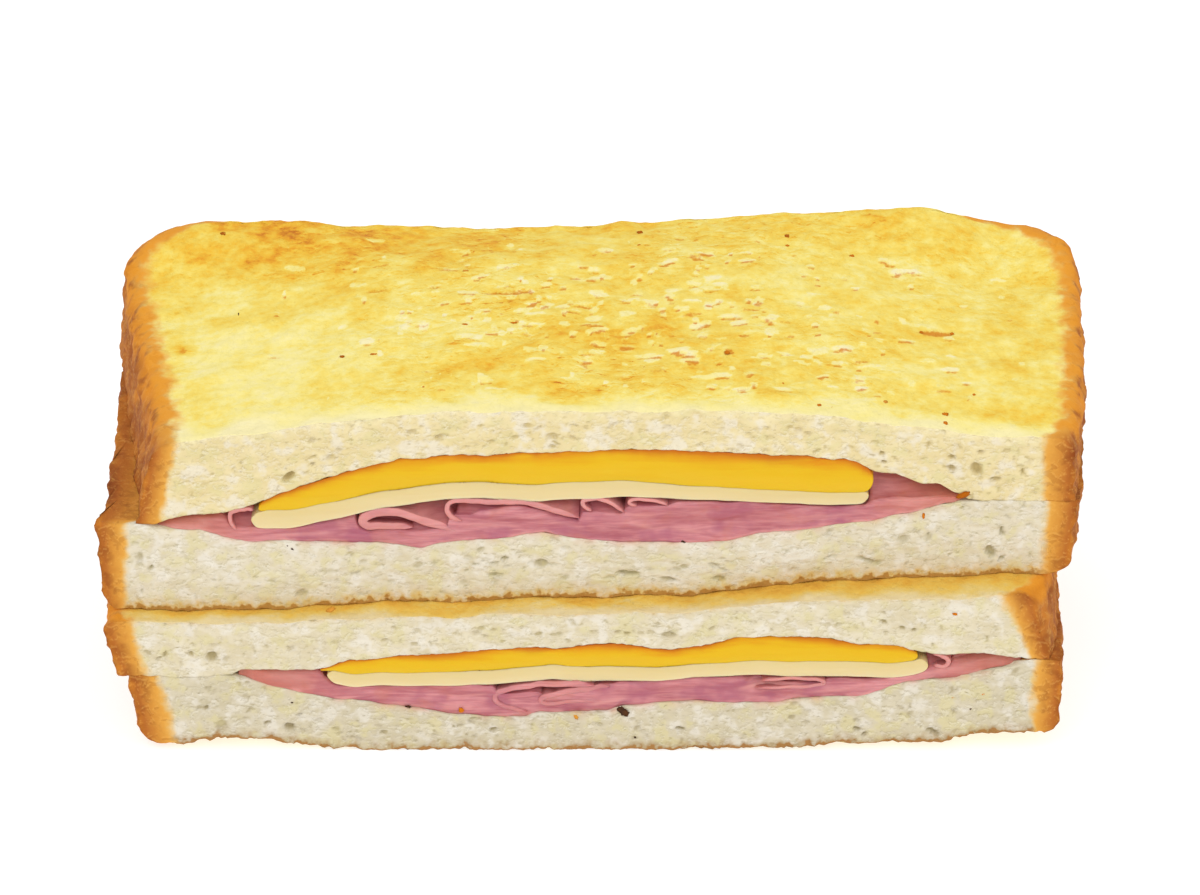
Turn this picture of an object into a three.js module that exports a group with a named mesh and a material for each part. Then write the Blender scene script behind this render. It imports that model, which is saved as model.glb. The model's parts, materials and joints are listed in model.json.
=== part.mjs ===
// A toasted ham and cheese sandwich, cut once across the middle, its two halves stacked with the cut faces
// to the front. Millimetres, +X to the right along the cut, +Y from the cut towards the back crust, +Z up.
import * as THREE from "three";

// Plan of the bread
const DEPTH = 63; // of each half, from the cut to the back crust
const LEFT_CORNER = 8; // radius of the back corners in plan
const RIGHT_CORNER = 14;
const BACK_LEAN = 1.5; // the back crust leans in this much between the slices' joint and the toasted face
const PINCH_REACH = 6; // the knife draws the crust in over this depth
const RIM = 2.2; // rounded edge of a toasted face
const RIM_SHARE = 0.25; // share of a slice's height that the rim takes
const CRAG = 0.4; // relief of the crust, from waves with these slopes along x, y and z
const cragWaves = [
  { along: [0.9, 0, 1.7], phase: 0 },
  { along: [0, 1.3, -0.8], phase: 2 },
  { along: [0.37, 0.37, 2.1], phase: 0 },
];
const SLICE = 10; // thickness of a slice of bread, about
const SETBACK = 4.6; // the upper half's cut face lies this far behind the lower one's
const TURN = 0.02; // and is turned by this slope in plan
const CLEARANCE = 0.3; // between pieces that touch
const BREAD_CLEARANCE = 0.45; // between the bread and what it covers

// Heights above the table along the cut, at stations from the left end to the right. A half holds the filling
// between its floor and its roof: a pile of ham with the cheese on top.
const STATION = 15;
const FIRST_STATION = -60;
const cutHeights = {
  lowerFloor: [11.2, 10.4, 7.4, 5.9, 6.2, 7.2, 8.2, 10.1, 13.4],
  lowerPile: [11.4, 12.0, 9.9, 10.1, 10.6, 11.1, 11.3, 12.5, 13.6],
  lowerRoof: [11.6, 12.4, 14.0, 15.5, 16.4, 16.4, 17.3, 15.7, 14.1],
  middle: [20.3, 20.2, 20.8, 21.3, 21.7, 22.1, 23.2, 24.3, 24.9],
  upperFloor: [32.7, 30.1, 30.0, 30.0, 29.9, 29.9, 31.0, 34.0, 34.5],
  upperPile: [32.9, 33.6, 34.0, 35.6, 35.9, 35.4, 34.7, 35.6, 34.7],
  upperRoof: [33.1, 35.7, 41.2, 42.6, 43.0, 43.0, 41.6, 37.9, 34.9],
  top: [44.3, 46.0, 48.2, 49.0, 49.0, 48.8, 48.1, 45.9, 44.5],
};

// Heights along the back crust, where the slices meet: left end, middle and right end
const backHeights = {
  lowerFloor: [11.0, 10.8, 12.5],
  lowerPile: [11.2, 11.0, 12.7],
  lowerRoof: [11.4, 11.2, 12.9],
  middle: [21.5, 21.5, 24.0],
  upperFloor: [33.9, 33.4, 36.0],
  upperPile: [34.1, 33.6, 36.2],
  upperRoof: [34.3, 33.8, 36.4],
  top: [47.0, 46.0, 48.6],
};
const FILLING_FULL = 43; // the filling keeps its height to this depth
const FILLING_GONE = 60; // and the slices meet here

// How the underside turns up towards the left end and, in two steps, towards the right one
const upturns = [
  { side: -1, from: 28, to: 56, rise: 0.8 },
  { side: 1, from: 30, to: 50, rise: 1.0 },
  { side: 1, from: 50, to: 62, rise: 1.6 },
];

// Side walls of each slice: where the crust stands at the cut and further back, at the joint of the two slices
// of a half and at the toasted face. A slow wall takes the whole depth to get from one to the other.
const walls = {
  lower_bread_bottom: {
    left: { cut: [-61.6, -60.0], back: [-62.4, -61.0] },
    right: { cut: [62.4, 61.8], back: [63.8, 63.2] },
  },
  lower_bread_top: {
    left: { cut: [-63.0, -65.2], back: [-62.8, -64.2] },
    right: { cut: [61.2, 58.8], back: [63.8, 63.4] },
  },
  upper_bread_bottom: {
    left: { cut: [-65.4, -64.8], back: [-64.2, -64.0] },
    right: { cut: [64.4, 63.0], back: [65.8, 64.6] },
  },
  upper_bread_top: {
    left: { cut: [-60.4, -57.4], back: [-64.4, -64.6], slow: true },
    right: { cut: [64.6, 64.6], back: [66.3, 66.7] },
  },
};

// Cheese: a thick orange slice on a thin pale one, both cut with the bread
const CHEESE_DEPTH = 41;
const CHEESE_ROUND = 0.8; // the cut ends bulge by this much
const PALE_SHARE = 0.7; // where the stack of cheese is thin, the pale slice takes this share of it
const cheeses = {
  lower: { pale: 1.9, paleEnds: [-34.6, 45.0], orangeEnds: [-35.9, 43.6] },
  upper: { pale: 2.1, paleEnds: [-45.0, 36.9], orangeEnds: [-43.6, 37.3] },
};

// Ham: a flat bed on the bread between two ends, and slices folded over on it. A fold's tip is its round end,
// as high inside as its loop, and from there its two legs run to the other end.
const HAM_DEPTH = 42;
const HAM_LEAST = 0.35; // the bed is nowhere thinner than this
const SWAY = 0.7; // the folds wander this much sideways on their way back
const SWAY_LENGTH = 13;
const LEG_CLOSED = 0.22; // space left between the legs of a fold once they close
const LEG_OPEN_SHARE = 0.55; // they close over this share of their length
const hams = {
  lower: {
    sheet: 0.55,
    bed: [-47, 57.5],
    folds: {
      left: { tip: -28, end: -10, loop: 1.0 },
      middle: { tip: -8.4, end: 15, loop: 1.0 },
      right: { tip: 17.2, end: 37, loop: 0.95 },
      curl: { tip: 49.4, end: 46.6, loop: 1.3 },
    },
  },
  upper: {
    sheet: 0.7,
    bed: [-57.5, 50.5],
    folds: {
      curl: { tip: -48.4, end: -39.6, loop: 2.0 },
      first: { tip: -31.4, end: -20.6, loop: 2.1 },
      second: { tip: -19.2, end: -4.2, loop: 1.25 },
      third: { tip: -3.1, end: 5.4, loop: 1.5 },
      fourth: { tip: 6.6, end: 36.3, loop: 1.1 },
    },
  },
};

const { clamp, lerp: mix, smoothstep } = THREE.MathUtils;
const smooth = (low, high, x) => smoothstep(x, low, high);

// A smooth curve through evenly spaced values.
function through(values, position) {
  const last = values.length - 1;
  const place = clamp(position, 0, last);
  const k = Math.min(Math.floor(place), last - 1);
  const t = place - k;
  const at = (i) => values[clamp(i, 0, last)];
  const slope = (at(k + 1) - at(k - 1)) / 2;
  const nextSlope = (at(k + 2) - at(k)) / 2;
  const step = at(k + 1) - at(k);
  return at(k) + t * (slope + t * (3 * step - 2 * slope - nextSlope + t * (slope + nextSlope - 2 * step)));
}

// How far the filling has closed at a depth: 1 at the cut, 0 where the slices meet.
const openness = (y) => 1 - smooth(FILLING_FULL, FILLING_GONE, y);

// Height of one of the surfaces between the layers.
function level(name, x, y) {
  const station = (x - FIRST_STATION) / STATION;
  const ends = backHeights[name];
  const perEnd = (cutHeights[name].length - 1) / (ends.length - 1);
  return mix(through(ends, station / perEnd), through(cutHeights[name], station), openness(y));
}

// The underside is flat on the table, and turns up at the two ends.
const base = (x) => upturns.reduce((z, { side, from, to, rise }) => z + rise * smooth(from, to, side * x), 0);

// Where the cut face of a half stands.
const cutFace = (half, x) => (half === "upper" ? SETBACK + TURN * x : 0);

// A closed box whose points are moved to place(u, v, w), each from 0 to 1.
function mouldedBox(columns, rows, levels, place) {
  const box = new THREE.BoxGeometry(1, 1, 1, columns, rows, levels);
  box.deleteAttribute("normal");
  box.deleteAttribute("uv");
  const points = box.getAttribute("position");
  for (let i = 0; i < points.count; i++) {
    points.setXYZ(i, ...place(points.getX(i) + 0.5, points.getY(i) + 0.5, points.getZ(i) + 0.5));
  }
  box.computeVertexNormals();
  return box;
}

// Relief of the crust, from waves that don't repeat over the part.
function crag(x, y, z) {
  const heights = cragWaves.map(({ along, phase }) => Math.sin(along[0] * x + along[1] * y + along[2] * z + phase));
  return (CRAG * heights.reduce((total, height) => total + height)) / cragWaves.length;
}

// One side of a slice in plan, back from the cut and round the back corner, at the share v of its length.
// The share t runs from the joint of the slices to the toasted face, and inset is what the rim takes off.
function sidePoint(wall, inward, radius, depth, inset, t, v) {
  const straight = depth - radius;
  const run = v * (straight + (radius * Math.PI) / 2);
  const spread = wall.slow ? smooth(0, depth, run) : 1 - Math.exp(-run / PINCH_REACH);
  const edge = mix(mix(...wall.cut, t), mix(...wall.back, t), spread) + inward * inset;
  if (run < straight) return [edge, run];
  const turn = (run - straight) / radius;
  return [edge + inward * radius * (1 - Math.cos(turn)), straight + radius * Math.sin(turn)];
}

const BREAD_GRID = [32, 8, 4];

// A slice of bread between two surfaces, with the rounded rim at its toasted face.
function breadSlice(half, wall, toastedUp, under, over) {
  return mouldedBox(...BREAD_GRID, (u, v, w) => {
    const t = toastedUp ? w : 1 - w;
    const rimPlace = Math.max(0, (t - 1 + RIM_SHARE) / RIM_SHARE);
    const inset = RIM * (1 - Math.sqrt(1 - rimPlace * rimPlace));
    const depth = DEPTH - BACK_LEAN * t - inset;
    const [leftX, leftY] = sidePoint(wall.left, 1, LEFT_CORNER, depth, inset, t, v);
    const [rightX, rightY] = sidePoint(wall.right, -1, RIGHT_CORNER, depth, inset, t, v);
    const x = mix(leftX, rightX, u);
    const y = mix(leftY, rightY, u);
    const push = crag(x, y, SLICE * w);
    const outX = u === 0 ? -push : u === 1 ? push : 0;
    const outY = v === 1 ? push : 0;
    return [x + outX, cutFace(half, x) + y + outY, mix(under(x, y), over(x, y), w)];
  });
}

const CHEESE_GRID = [20, 4, 2];

// A slice of cheese between two surfaces, its ends rounded.
function cheeseSlice(half, [left, right], under, over) {
  return mouldedBox(...CHEESE_GRID, (u, v, w) => {
    const bulge = CHEESE_ROUND * (Math.sin(Math.PI * w) - 1);
    const x = mix(left - bulge, right + bulge, u);
    const y = v * (CHEESE_DEPTH + bulge);
    return [x, cutFace(half, x) + y, mix(under(x, y), over(x, y), w)];
  });
}

// The height between the ham and the bread above it, split between the pale slice and the orange one.
function cheeseHeights(half, pale) {
  const low = (x, y) => level(`${half}Pile`, x, y) + CLEARANCE;
  const high = (x, y) => level(`${half}Roof`, x, y) - BREAD_CLEARANCE;
  const paleTop = (x, y) => low(x, y) + Math.min(pale, PALE_SHARE * (high(x, y) - low(x, y) - CLEARANCE));
  return { low, paleTop, orangeLow: (x, y) => paleTop(x, y) + CLEARANCE, high };
}

// Where a place in the filling lies, given by its lift above the bread at the cut.
function inFilling(half, x, y, lift) {
  const swayed = x + SWAY * Math.sin(y / SWAY_LENGTH);
  return [swayed, cutFace(half, x) + y, level(`${half}Floor`, swayed, y) + CLEARANCE / 2 + lift * openness(y)];
}

// The opening of a fold between the middles of its legs, at a share of its length from the tip.
const opening = (sheet, loop, share) => mix(loop, sheet + LEG_CLOSED, smooth(0, LEG_OPEN_SHARE, share));

const BED_GRID = [30, 4, 1];

// Thickness of the bed of ham: what the pile leaves under the folds.
function bedTop(half, x) {
  const { sheet, bed, folds } = hams[half];
  const step = (bed[1] - bed[0]) / BED_GRID[0];
  const pile = level(`${half}Pile`, x, 0) - level(`${half}Floor`, x, 0) - CLEARANCE;
  const heights = Object.values(folds).map(({ tip, end, loop }) => {
    const share = (x - tip) / (end - tip);
    const margin = step / Math.abs(end - tip);
    const beside = share < -margin || share > 1 + margin;
    return beside ? 0 : opening(sheet, loop, share) + sheet + CLEARANCE;
  });
  return Math.max(HAM_LEAST, pile - Math.max(...heights));
}

// The flat bed of ham that lies on the bread.
function hamBed(half) {
  return mouldedBox(...BED_GRID, (u, v, w) => {
    const x = mix(...hams[half].bed, u);
    return inFilling(half, x, v * HAM_DEPTH, mix(CLEARANCE / 2, bedTop(half, x), w));
  });
}

// The middle line of a fold at the cut, as [x, lift] points: one leg in to the tip, round it and out again.
function foldLine(half, { tip, end, loop }) {
  const { sheet } = hams[half];
  const direction = Math.sign(end - tip);
  const round = loop / 2;
  const legs = [1, 0.75, 0.5, 0.25, 0].map((share) => {
    const x = mix(tip + direction * round, end, share);
    const bottom = bedTop(half, x) + CLEARANCE + sheet / 2;
    return { x, bottom, top: bottom + opening(sheet, loop, share) };
  });
  const nearTip = legs.at(-1);
  const turn = [-0.25, 0, 0.25].map((share) => [
    nearTip.x - direction * round * Math.cos(share * Math.PI),
    nearTip.bottom + round + round * Math.sin(share * Math.PI),
  ]);
  return [...legs.map(({ x, bottom }) => [x, bottom]), ...turn, ...legs.reverse().map(({ x, top }) => [x, top])];
}

const FOLD_STEPS = 2; // columns for each point of the fold's line
const FOLD_ROWS = 3;

// A slice of ham folded over, which runs back from the cut.
function hamFold(half, fold) {
  const { sheet } = hams[half];
  const line = foldLine(half, fold);
  const curve = new THREE.SplineCurve(line.map((point) => new THREE.Vector2(...point)));
  const forward = fold.end > fold.tip ? 1 : -1;
  return mouldedBox(FOLD_STEPS * line.length, FOLD_ROWS, 1, (u, v, w) => {
    const share = forward > 0 ? 1 - u : u;
    const point = curve.getPoint(share);
    const tangent = curve.getTangent(share);
    const off = (w - 0.5) * sheet * -forward;
    return inFilling(half, point.x - tangent.y * off, v * HAM_DEPTH, point.y + tangent.x * off);
  });
}

// Colours, roughness and metalness of the foods
const finish = (color, roughness) => new THREE.MeshStandardMaterial({ color, roughness, metalness: 0 });
const toast = finish(0xe6c887, 0.85);
const orangeCheese = finish(0xecbd2d, 0.45);
const paleCheese = finish(0xeddaaf, 0.45);
const ham = finish(0xc87a7c, 0.4);

const sandwich = new THREE.Group();
sandwich.name = "ham_and_cheese_toastie";

function add(name, geometry, material) {
  const mesh = new THREE.Mesh(geometry, material);
  mesh.name = name;
  sandwich.add(mesh);
}

const surface = (name) => (x, y) => level(name, x, y);
const onLowerHalf = (x, y) => level("middle", x, y + cutFace("upper", x)) + BREAD_CLEARANCE;
const bread = {
  lower_bread_bottom: ["lower", false, base, surface("lowerFloor")],
  lower_bread_top: ["lower", true, surface("lowerRoof"), surface("middle")],
  upper_bread_bottom: ["upper", false, onLowerHalf, surface("upperFloor")],
  upper_bread_top: ["upper", true, surface("upperRoof"), surface("top")],
};
for (const [name, [half, toastedUp, under, over]] of Object.entries(bread)) {
  add(name, breadSlice(half, walls[name], toastedUp, under, over), toast);
}

for (const [half, { pale, paleEnds, orangeEnds }] of Object.entries(cheeses)) {
  const { low, paleTop, orangeLow, high } = cheeseHeights(half, pale);
  add(`${half}_cheese_pale`, cheeseSlice(half, paleEnds, low, paleTop), paleCheese);
  add(`${half}_cheese_orange`, cheeseSlice(half, orangeEnds, orangeLow, high), orangeCheese);
}

for (const half of ["lower", "upper"]) {
  add(`${half}_ham_bed`, hamBed(half), ham);
  for (const [place, fold] of Object.entries(hams[half].folds)) {
    add(`${half}_ham_${place}`, hamFold(half, fold), ham);
  }
}

// The origin is the middle of the footprint, on the table.
const bounds = new THREE.Box3().setFromObject(sandwich);
const middle = bounds.getCenter(new THREE.Vector3());
sandwich.position.set(-middle.x, -middle.y, -bounds.min.z);

export default sandwich;
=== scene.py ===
"""A toasted ham and cheese sandwich, cut once across, its two halves stacked with the cut to the front.

Lengths are millimetres in the model's own frame, with x to the right along the cut, y from the cut face of
the lower half towards the back crust and z up from the table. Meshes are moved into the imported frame, in
metres.
"""
import enum
import json
import logging
import math
from collections.abc import Sequence
from dataclasses import dataclass, field
from typing import TypeVar

import bpy
import numpy as np
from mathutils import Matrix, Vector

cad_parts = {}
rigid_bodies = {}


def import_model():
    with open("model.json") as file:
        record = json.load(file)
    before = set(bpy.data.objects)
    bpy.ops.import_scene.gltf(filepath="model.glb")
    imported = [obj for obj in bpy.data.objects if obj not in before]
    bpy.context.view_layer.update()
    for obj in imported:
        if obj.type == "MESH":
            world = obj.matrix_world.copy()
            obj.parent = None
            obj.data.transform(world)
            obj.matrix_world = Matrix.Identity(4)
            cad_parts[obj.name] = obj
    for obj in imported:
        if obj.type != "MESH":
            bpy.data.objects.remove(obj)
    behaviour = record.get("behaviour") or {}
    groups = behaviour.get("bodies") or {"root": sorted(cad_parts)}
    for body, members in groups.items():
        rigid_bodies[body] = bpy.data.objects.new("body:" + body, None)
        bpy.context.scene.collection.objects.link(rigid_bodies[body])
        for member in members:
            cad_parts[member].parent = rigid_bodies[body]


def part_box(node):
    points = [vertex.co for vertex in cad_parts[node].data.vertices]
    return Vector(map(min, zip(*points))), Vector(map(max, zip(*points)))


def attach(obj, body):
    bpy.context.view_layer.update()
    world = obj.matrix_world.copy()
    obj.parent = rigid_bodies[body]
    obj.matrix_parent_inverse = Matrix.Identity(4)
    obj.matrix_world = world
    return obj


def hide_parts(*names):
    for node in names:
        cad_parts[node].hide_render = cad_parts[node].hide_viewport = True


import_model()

Array = np.ndarray
Colour = tuple[float, float, float, float]
Value = float | Array
Socket = bpy.types.NodeSocket
Input = float | Sequence[float] | Socket
Outputs = bpy.types.bpy_prop_collection
Row = TypeVar("Row")

log = logging.getLogger("toastie")

MM = 0.001

# Plan of the bread
DEPTH = 63.0
LEFT_CORNER = 8.0
RIGHT_CORNER = 14.0
BACK_LEAN = 1.5
PINCH_REACH = 6.0
RIM = 2.2
RIM_SHARE = 0.25
CRAG = 0.28
SLICE = 10.0
SETBACK = 4.6
TURN = 0.02
CRUST = 4.2  # width of the crust at the cut that its colours are drawn for
JOINT_CRUST = 7.5  # width of the crust on the faces that meet inside a half, away from the cut
BACK_CRUST = 4.0
TOAST_LIMITS = (0.04, 0.77)  # palest and brownest that a toasted face gets
FLAKE_FIELD = ((-48.0, 60.0), (6.0, 56.0))  # where flakes may lie, along the cut and behind it

# Heights along the cut at stations from the left end, and along the back where the slices meet
STATION = 15.0
FIRST_STATION = -60.0
FILLING_FULL = 43.0
FILLING_GONE = 60.0
TOP_AT_CUT = (44.3, 46.0, 48.2, 49.0, 49.0, 48.8, 48.1, 45.9, 44.5)
BACK_STATION = 60.0
BACK_HEIGHTS = {
    "lower_floor": (11.0, 10.8, 12.5),
    "lower_pile": (11.2, 11.0, 12.7),
    "lower_roof": (11.4, 11.2, 12.9),
    "middle": (21.5, 21.5, 24.0),
    "upper_floor": (33.9, 33.4, 36.0),
    "upper_pile": (34.1, 33.6, 36.2),
    "upper_roof": (34.3, 33.8, 36.4),
    "top": (47.0, 46.3, 48.6),
}

# How uneven each of those surfaces is
UNEVEN = {
    "lower_floor": 0.28,
    "lower_pile": 0.1,
    "lower_roof": 0.24,
    "middle": 0.22,
    "upper_floor": 0.28,
    "upper_pile": 0.1,
    "upper_roof": 0.24,
    "top": 0.3,
}

# Filling
CHEESE_DEPTH = 41.0
PALE_SHARE = 0.7
HAM_DEPTH = 42.0
HAM_LEAST = 0.35
SWAY = 0.7
SWAY_LENGTH = 13.0
LEG_GAP = 0.1
HAM_THINNEST = 0.08
EDGE_WIDTH = 0.13  # reach of the deeper colour at the top edge of the cheese, partly painted shade under the bread
EDGE_GROWTH = 0.07  # what it gains for each millimetre of thickness
SHUT_ROOMS = (0.6, 1.8)  # room between slices below which they lie shut, and above which they lie open
CLEARANCE = 0.16
HAIR = 0.03  # hairline between foods that lie on each other
STUDIO_LEVEL = 1.12  # brightness of a white surface in the studio


def each(kind: type[Row], *rows: Sequence[object]) -> tuple[Row, ...]:
    """Makes things of one kind from rows of their values."""
    return tuple(kind(*row) for row in rows)


class Half(enum.Enum):
    """The two halves of the stack."""

    LOWER = "lower"
    UPPER = "upper"


class Side(enum.Enum):
    """Sides of a block, as the axis across the side and the end of that axis."""

    LEFT = (0, 0)
    RIGHT = (0, 1)
    FRONT = (1, 0)
    BACK = (1, 1)
    UNDER = (2, 0)
    OVER = (2, 1)


class Tone(enum.Enum):
    """Burnt bits and seasoning, from black to orange brown."""

    BLACK = 0.0
    BROWN = 0.5
    RUST = 0.75
    ORANGE = 1.0


@dataclass(frozen=True)
class Swell:
    """A place where a surface stands higher or lower than its main form."""

    x: float
    y: float
    wide: float
    deep: float
    rise: float


SWELLS = {
    "top": each(
        Swell,
        (-45, 60, 16, 14, 1), (22, 62, 26, 14, 0.9), (46.5, 60, 5, 14, 0.5), (57.5, 58, 8, 12, -2),
    ),
}

# Lines at the cut, as places and heights
CUT_LINES = {
    "lower_floor": (
        (-66, 11.1), (-61.4, 11.15), (-49.4, 11.75), (-47.6, 11.1), (-44.4, 10.4), (-39.8, 9.1),
        (-35.5, 8.1), (-31.2, 7.5), (-26.3, 7), (-21.6, 6.1), (-18.7, 5.5), (-13.1, 5.3), (-8.4, 5.3),
        (-7.1, 5.9), (3, 6.05), (4.9, 6.8), (10, 7), (14.6, 7.3), (20.4, 7.4), (25.2, 7.3), (28.1, 7.85),
        (32.1, 8.3), (36, 8.5), (41.8, 10.1), (46.5, 10.8), (51, 11.7), (54.5, 12.5), (57.3, 13.1),
        (58.8, 14), (66, 13.8),
    ),
    "lower_pile": (
        (-66, 11.3), (-49.4, 11.9), (-37, 11.6), (-35.5, 11), (-34.4, 10.2), (-31.6, 9.8), (-28, 10),
        (-23.8, 9.8), (-17.4, 9.95), (-13.1, 10.1), (-8.4, 10.6), (-5, 10.9), (-2.7, 10.6), (8.9, 10.6),
        (12.4, 10.85), (16.4, 11.3), (20.4, 11.45), (28.1, 11.35), (39.6, 11.1), (43, 11.4), (45, 12.2),
        (49, 13.4), (66, 14),
    ),
    "lower_roof": (
        (-66, 11.2), (-61.4, 11.3), (-49.4, 11.85), (-48, 11.7), (-46.4, 12.3), (-42.2, 12.3),
        (-36.3, 12.4), (-35.9, 12.6), (-32.3, 13.75), (-28, 13.9), (-23.8, 14.6), (-17.4, 15.2),
        (-14.3, 15.5), (-7.6, 16.05), (-2.7, 15.9), (3.8, 16.45), (7.7, 15.8), (10.9, 15.6), (14.6, 15.9),
        (16.4, 16.3), (18.8, 17.1), (22.2, 17.4), (31, 17.3), (36.1, 16.3), (41.8, 15.9), (43, 15.2),
        (45, 14.85), (48.1, 14.6), (52.9, 14.85), (57, 14.4), (58.8, 14.2), (66, 13.9),
    ),
    "middle": (
        (-60, 19.7), (-54, 19.5), (-43.4, 19.4), (-38.2, 19.75), (-33, 20), (-27.6, 20.4), (-17.1, 20.4),
        (-11.9, 20.75), (-9.2, 20.95), (-4, 20.95), (1.3, 20.65), (6.6, 21.1), (11.8, 21), (17.1, 21.6),
        (22.4, 22.25), (27.6, 22.75), (32.9, 22.95), (38.1, 23.15), (43.4, 23.2), (48.7, 23.3),
        (53.9, 23.85), (60, 23.9),
    ),
    "upper_floor": (
        (-66, 33), (-60, 32.7), (-57.6, 31.9), (-54, 31.6), (-51.7, 31.5), (-49.4, 30.6), (-45.1, 29.75),
        (-30.5, 29.75), (-22.5, 28.75), (-15.1, 30), (-9.7, 30.2), (-6, 30.8), (-4, 30.2), (0.2, 29.4),
        (13.5, 29.3), (20.5, 29.8), (23.8, 30.6), (28.2, 31.1), (32.7, 31.9), (37.1, 32.05), (41.7, 32.9),
        (47.7, 34.6), (50.5, 35.1), (54, 35.15), (60, 34.9), (66, 34.6),
    ),
    "upper_pile": (
        (-66, 33.1), (-57, 33.1), (-46, 33.3), (-44.6, 32), (-43.5, 31.85), (-39.8, 31.8), (-38.4, 32),
        (-35.8, 32.65), (-33.1, 33.3), (-30.9, 33.9), (-27.8, 34.6), (-25.2, 34.9), (-22.5, 35.45),
        (-19.5, 35.9), (-14.6, 36), (-11.9, 35.75), (-6.6, 35.4), (-1.3, 35.7), (3.9, 35.95), (9.2, 35.8),
        (14.5, 35.5), (22.5, 34.85), (27.8, 34.7), (35.7, 34.4), (40, 35.5), (50, 35.3), (66, 34.8),
    ),
    "upper_roof": (
        (-66, 33.1), (-60, 32.85), (-57.6, 32.7), (-56.3, 33.2), (-53.7, 33.8), (-48.2, 34.4),
        (-46.4, 34.95), (-44.8, 35.25), (-38.4, 37.9), (-31.8, 40.4), (-25.2, 42.15), (-11.9, 42.45),
        (1.3, 43), (14.5, 43.05), (27.8, 41.9), (34.4, 41.2), (37, 39.7), (37.7, 39.1), (41, 38.75),
        (42.8, 38.15), (44.3, 37.5), (46.1, 37.8), (48.7, 36.2), (50.5, 35.4), (54, 35.25), (60, 35),
        (66, 34.7),
    ),
}
UNDERSIDE = (
    (-60, 1), (-58.6, 1.05), (-54, 0.85), (-49.4, 1.75), (-44.8, 1.7), (-40, 0.9), (-35, 0.15), (-30, 0),
    (12, 0), (18, 0.2), (24, 0.35), (28, 0.4), (33.5, 1), (38.1, 1.15), (47.4, 1.3), (50, 2.1), (52, 2.55),
    (56.6, 2.7), (59, 2.7), (61.2, 2.7), (66, 2.7),
)
ROUNDING = 0.5


def mix(a: Value, b: Value, share: Value) -> Value:
    """Goes from a to b by the share."""
    return a + (b - a) * share


def smooth(low: float, high: float, x: Value) -> Value:
    """Rises smoothly from 0 at low to 1 at high."""
    t = np.clip((x - low) / (high - low), 0.0, 1.0)
    return t * t * (3.0 - 2.0 * t)


def hump(x: Value, middle: float, reach: float) -> Value:
    """A smooth hump of height 1 round the middle."""
    return np.exp(-(((x - middle) / reach) ** 2))


def through(values: Sequence[float], position: Value) -> Value:
    """Follows a smooth curve through evenly spaced values.

    Args:
        values: What the curve passes through.
        position: Where to read it, counted in values from the first.

    Returns:
        The height of the curve there.
    """
    held = np.asarray(values, float)
    last = len(held) - 1
    place = np.clip(position, 0.0, last)
    k = np.minimum(np.floor(place).astype(int), last - 1)
    t = place - k
    before, start = held[np.maximum(k - 1, 0)], held[k]
    end, after = held[k + 1], held[np.minimum(k + 2, last)]
    slope = (end - before) / 2.0
    next_slope = (after - start) / 2.0
    step = end - start
    bend = 3.0 * step - 2.0 * slope - next_slope
    return start + t * (slope + t * (bend + t * (slope + next_slope - 2.0 * step)))


def rounded(line: Sequence[tuple[float, float]], x: Value) -> Value:
    """Reads the height of a drawn line, with its corners rounded."""
    places, heights = np.array(line).T
    return sum(np.interp(x + shift, places, heights) for shift in (-ROUNDING, 0.0, ROUNDING)) / 3.0


def graded(length: float, first: float, growth: float, most: float) -> Array:
    """Spaces lines along a length, close at the start and wider further on.

    Args:
        length: The whole length.
        first: The first step.
        growth: How much longer each step is than the one before.
        most: The longest step.

    Returns:
        The places of the lines, as shares of the length from 0 to 1.
    """
    places = [0.0]
    step = first
    while places[-1] < length:
        places.append(places[-1] + step)
        step = min(step * growth, most)
    return np.array(places) / places[-1]


@dataclass(frozen=True)
class Grain:
    """Layered noise: its longest wave, or one for each axis, how many layers it has and how strong it is."""

    size: float | tuple[float, float, float]
    layers: int
    strength: float = 1.0


class Lattice:
    """Seeded smooth noise in space, from random values on a lattice that repeats only far apart."""

    SPAN = 47
    SHIFT = 9.1  # keeps the finer layers from lining up with the coarse one

    def __init__(self, seed: int) -> None:
        """Draws the lattice's values from the seed."""
        self.values = np.random.default_rng(seed).uniform(-1.0, 1.0, (self.SPAN,) * 3)

    def at(self, points: Array, size: Value | Sequence[float]) -> Array:
        """Reads the noise.

        Args:
            points: Places, with x, y and z last.
            size: Length of a wave, or one for each axis.

        Returns:
            A value from -1 to 1 for each place.
        """
        place = points / np.asarray(size, float)
        cell = np.floor(place).astype(int)
        t = place - cell
        t = t * t * (3.0 - 2.0 * t)
        total = np.zeros(points.shape[:-1])
        for corner in np.ndindex(2, 2, 2):
            step = np.array(corner)
            weight = np.where(step == 1, t, 1.0 - t).prod(-1)
            x, y, z = np.moveaxis((cell + step) % self.SPAN, -1, 0)
            total += weight * self.values[x, y, z]
        return total

    def layered(self, points: Array, grain: Grain) -> Array:
        """Adds finer and fainter noise to coarse noise, each layer half as long and strong as the one before.

        Args:
            points: Places, with x, y and z last.
            grain: What the noise is like.

        Returns:
            A value of about 0, at most about twice the strength away from it, for each place.
        """
        sizes = np.asarray(grain.size, float)
        layers = (self.at(points + self.SHIFT * k, sizes / 2**k) / 2**k for k in range(grain.layers))
        return grain.strength * sum(layers)


def flat(x: Value, y: Value, z: Value = 0.0) -> Array:
    """Puts coordinates together as points."""
    return np.stack(np.broadcast_arrays(x, y, z), axis=-1).astype(float)


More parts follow.
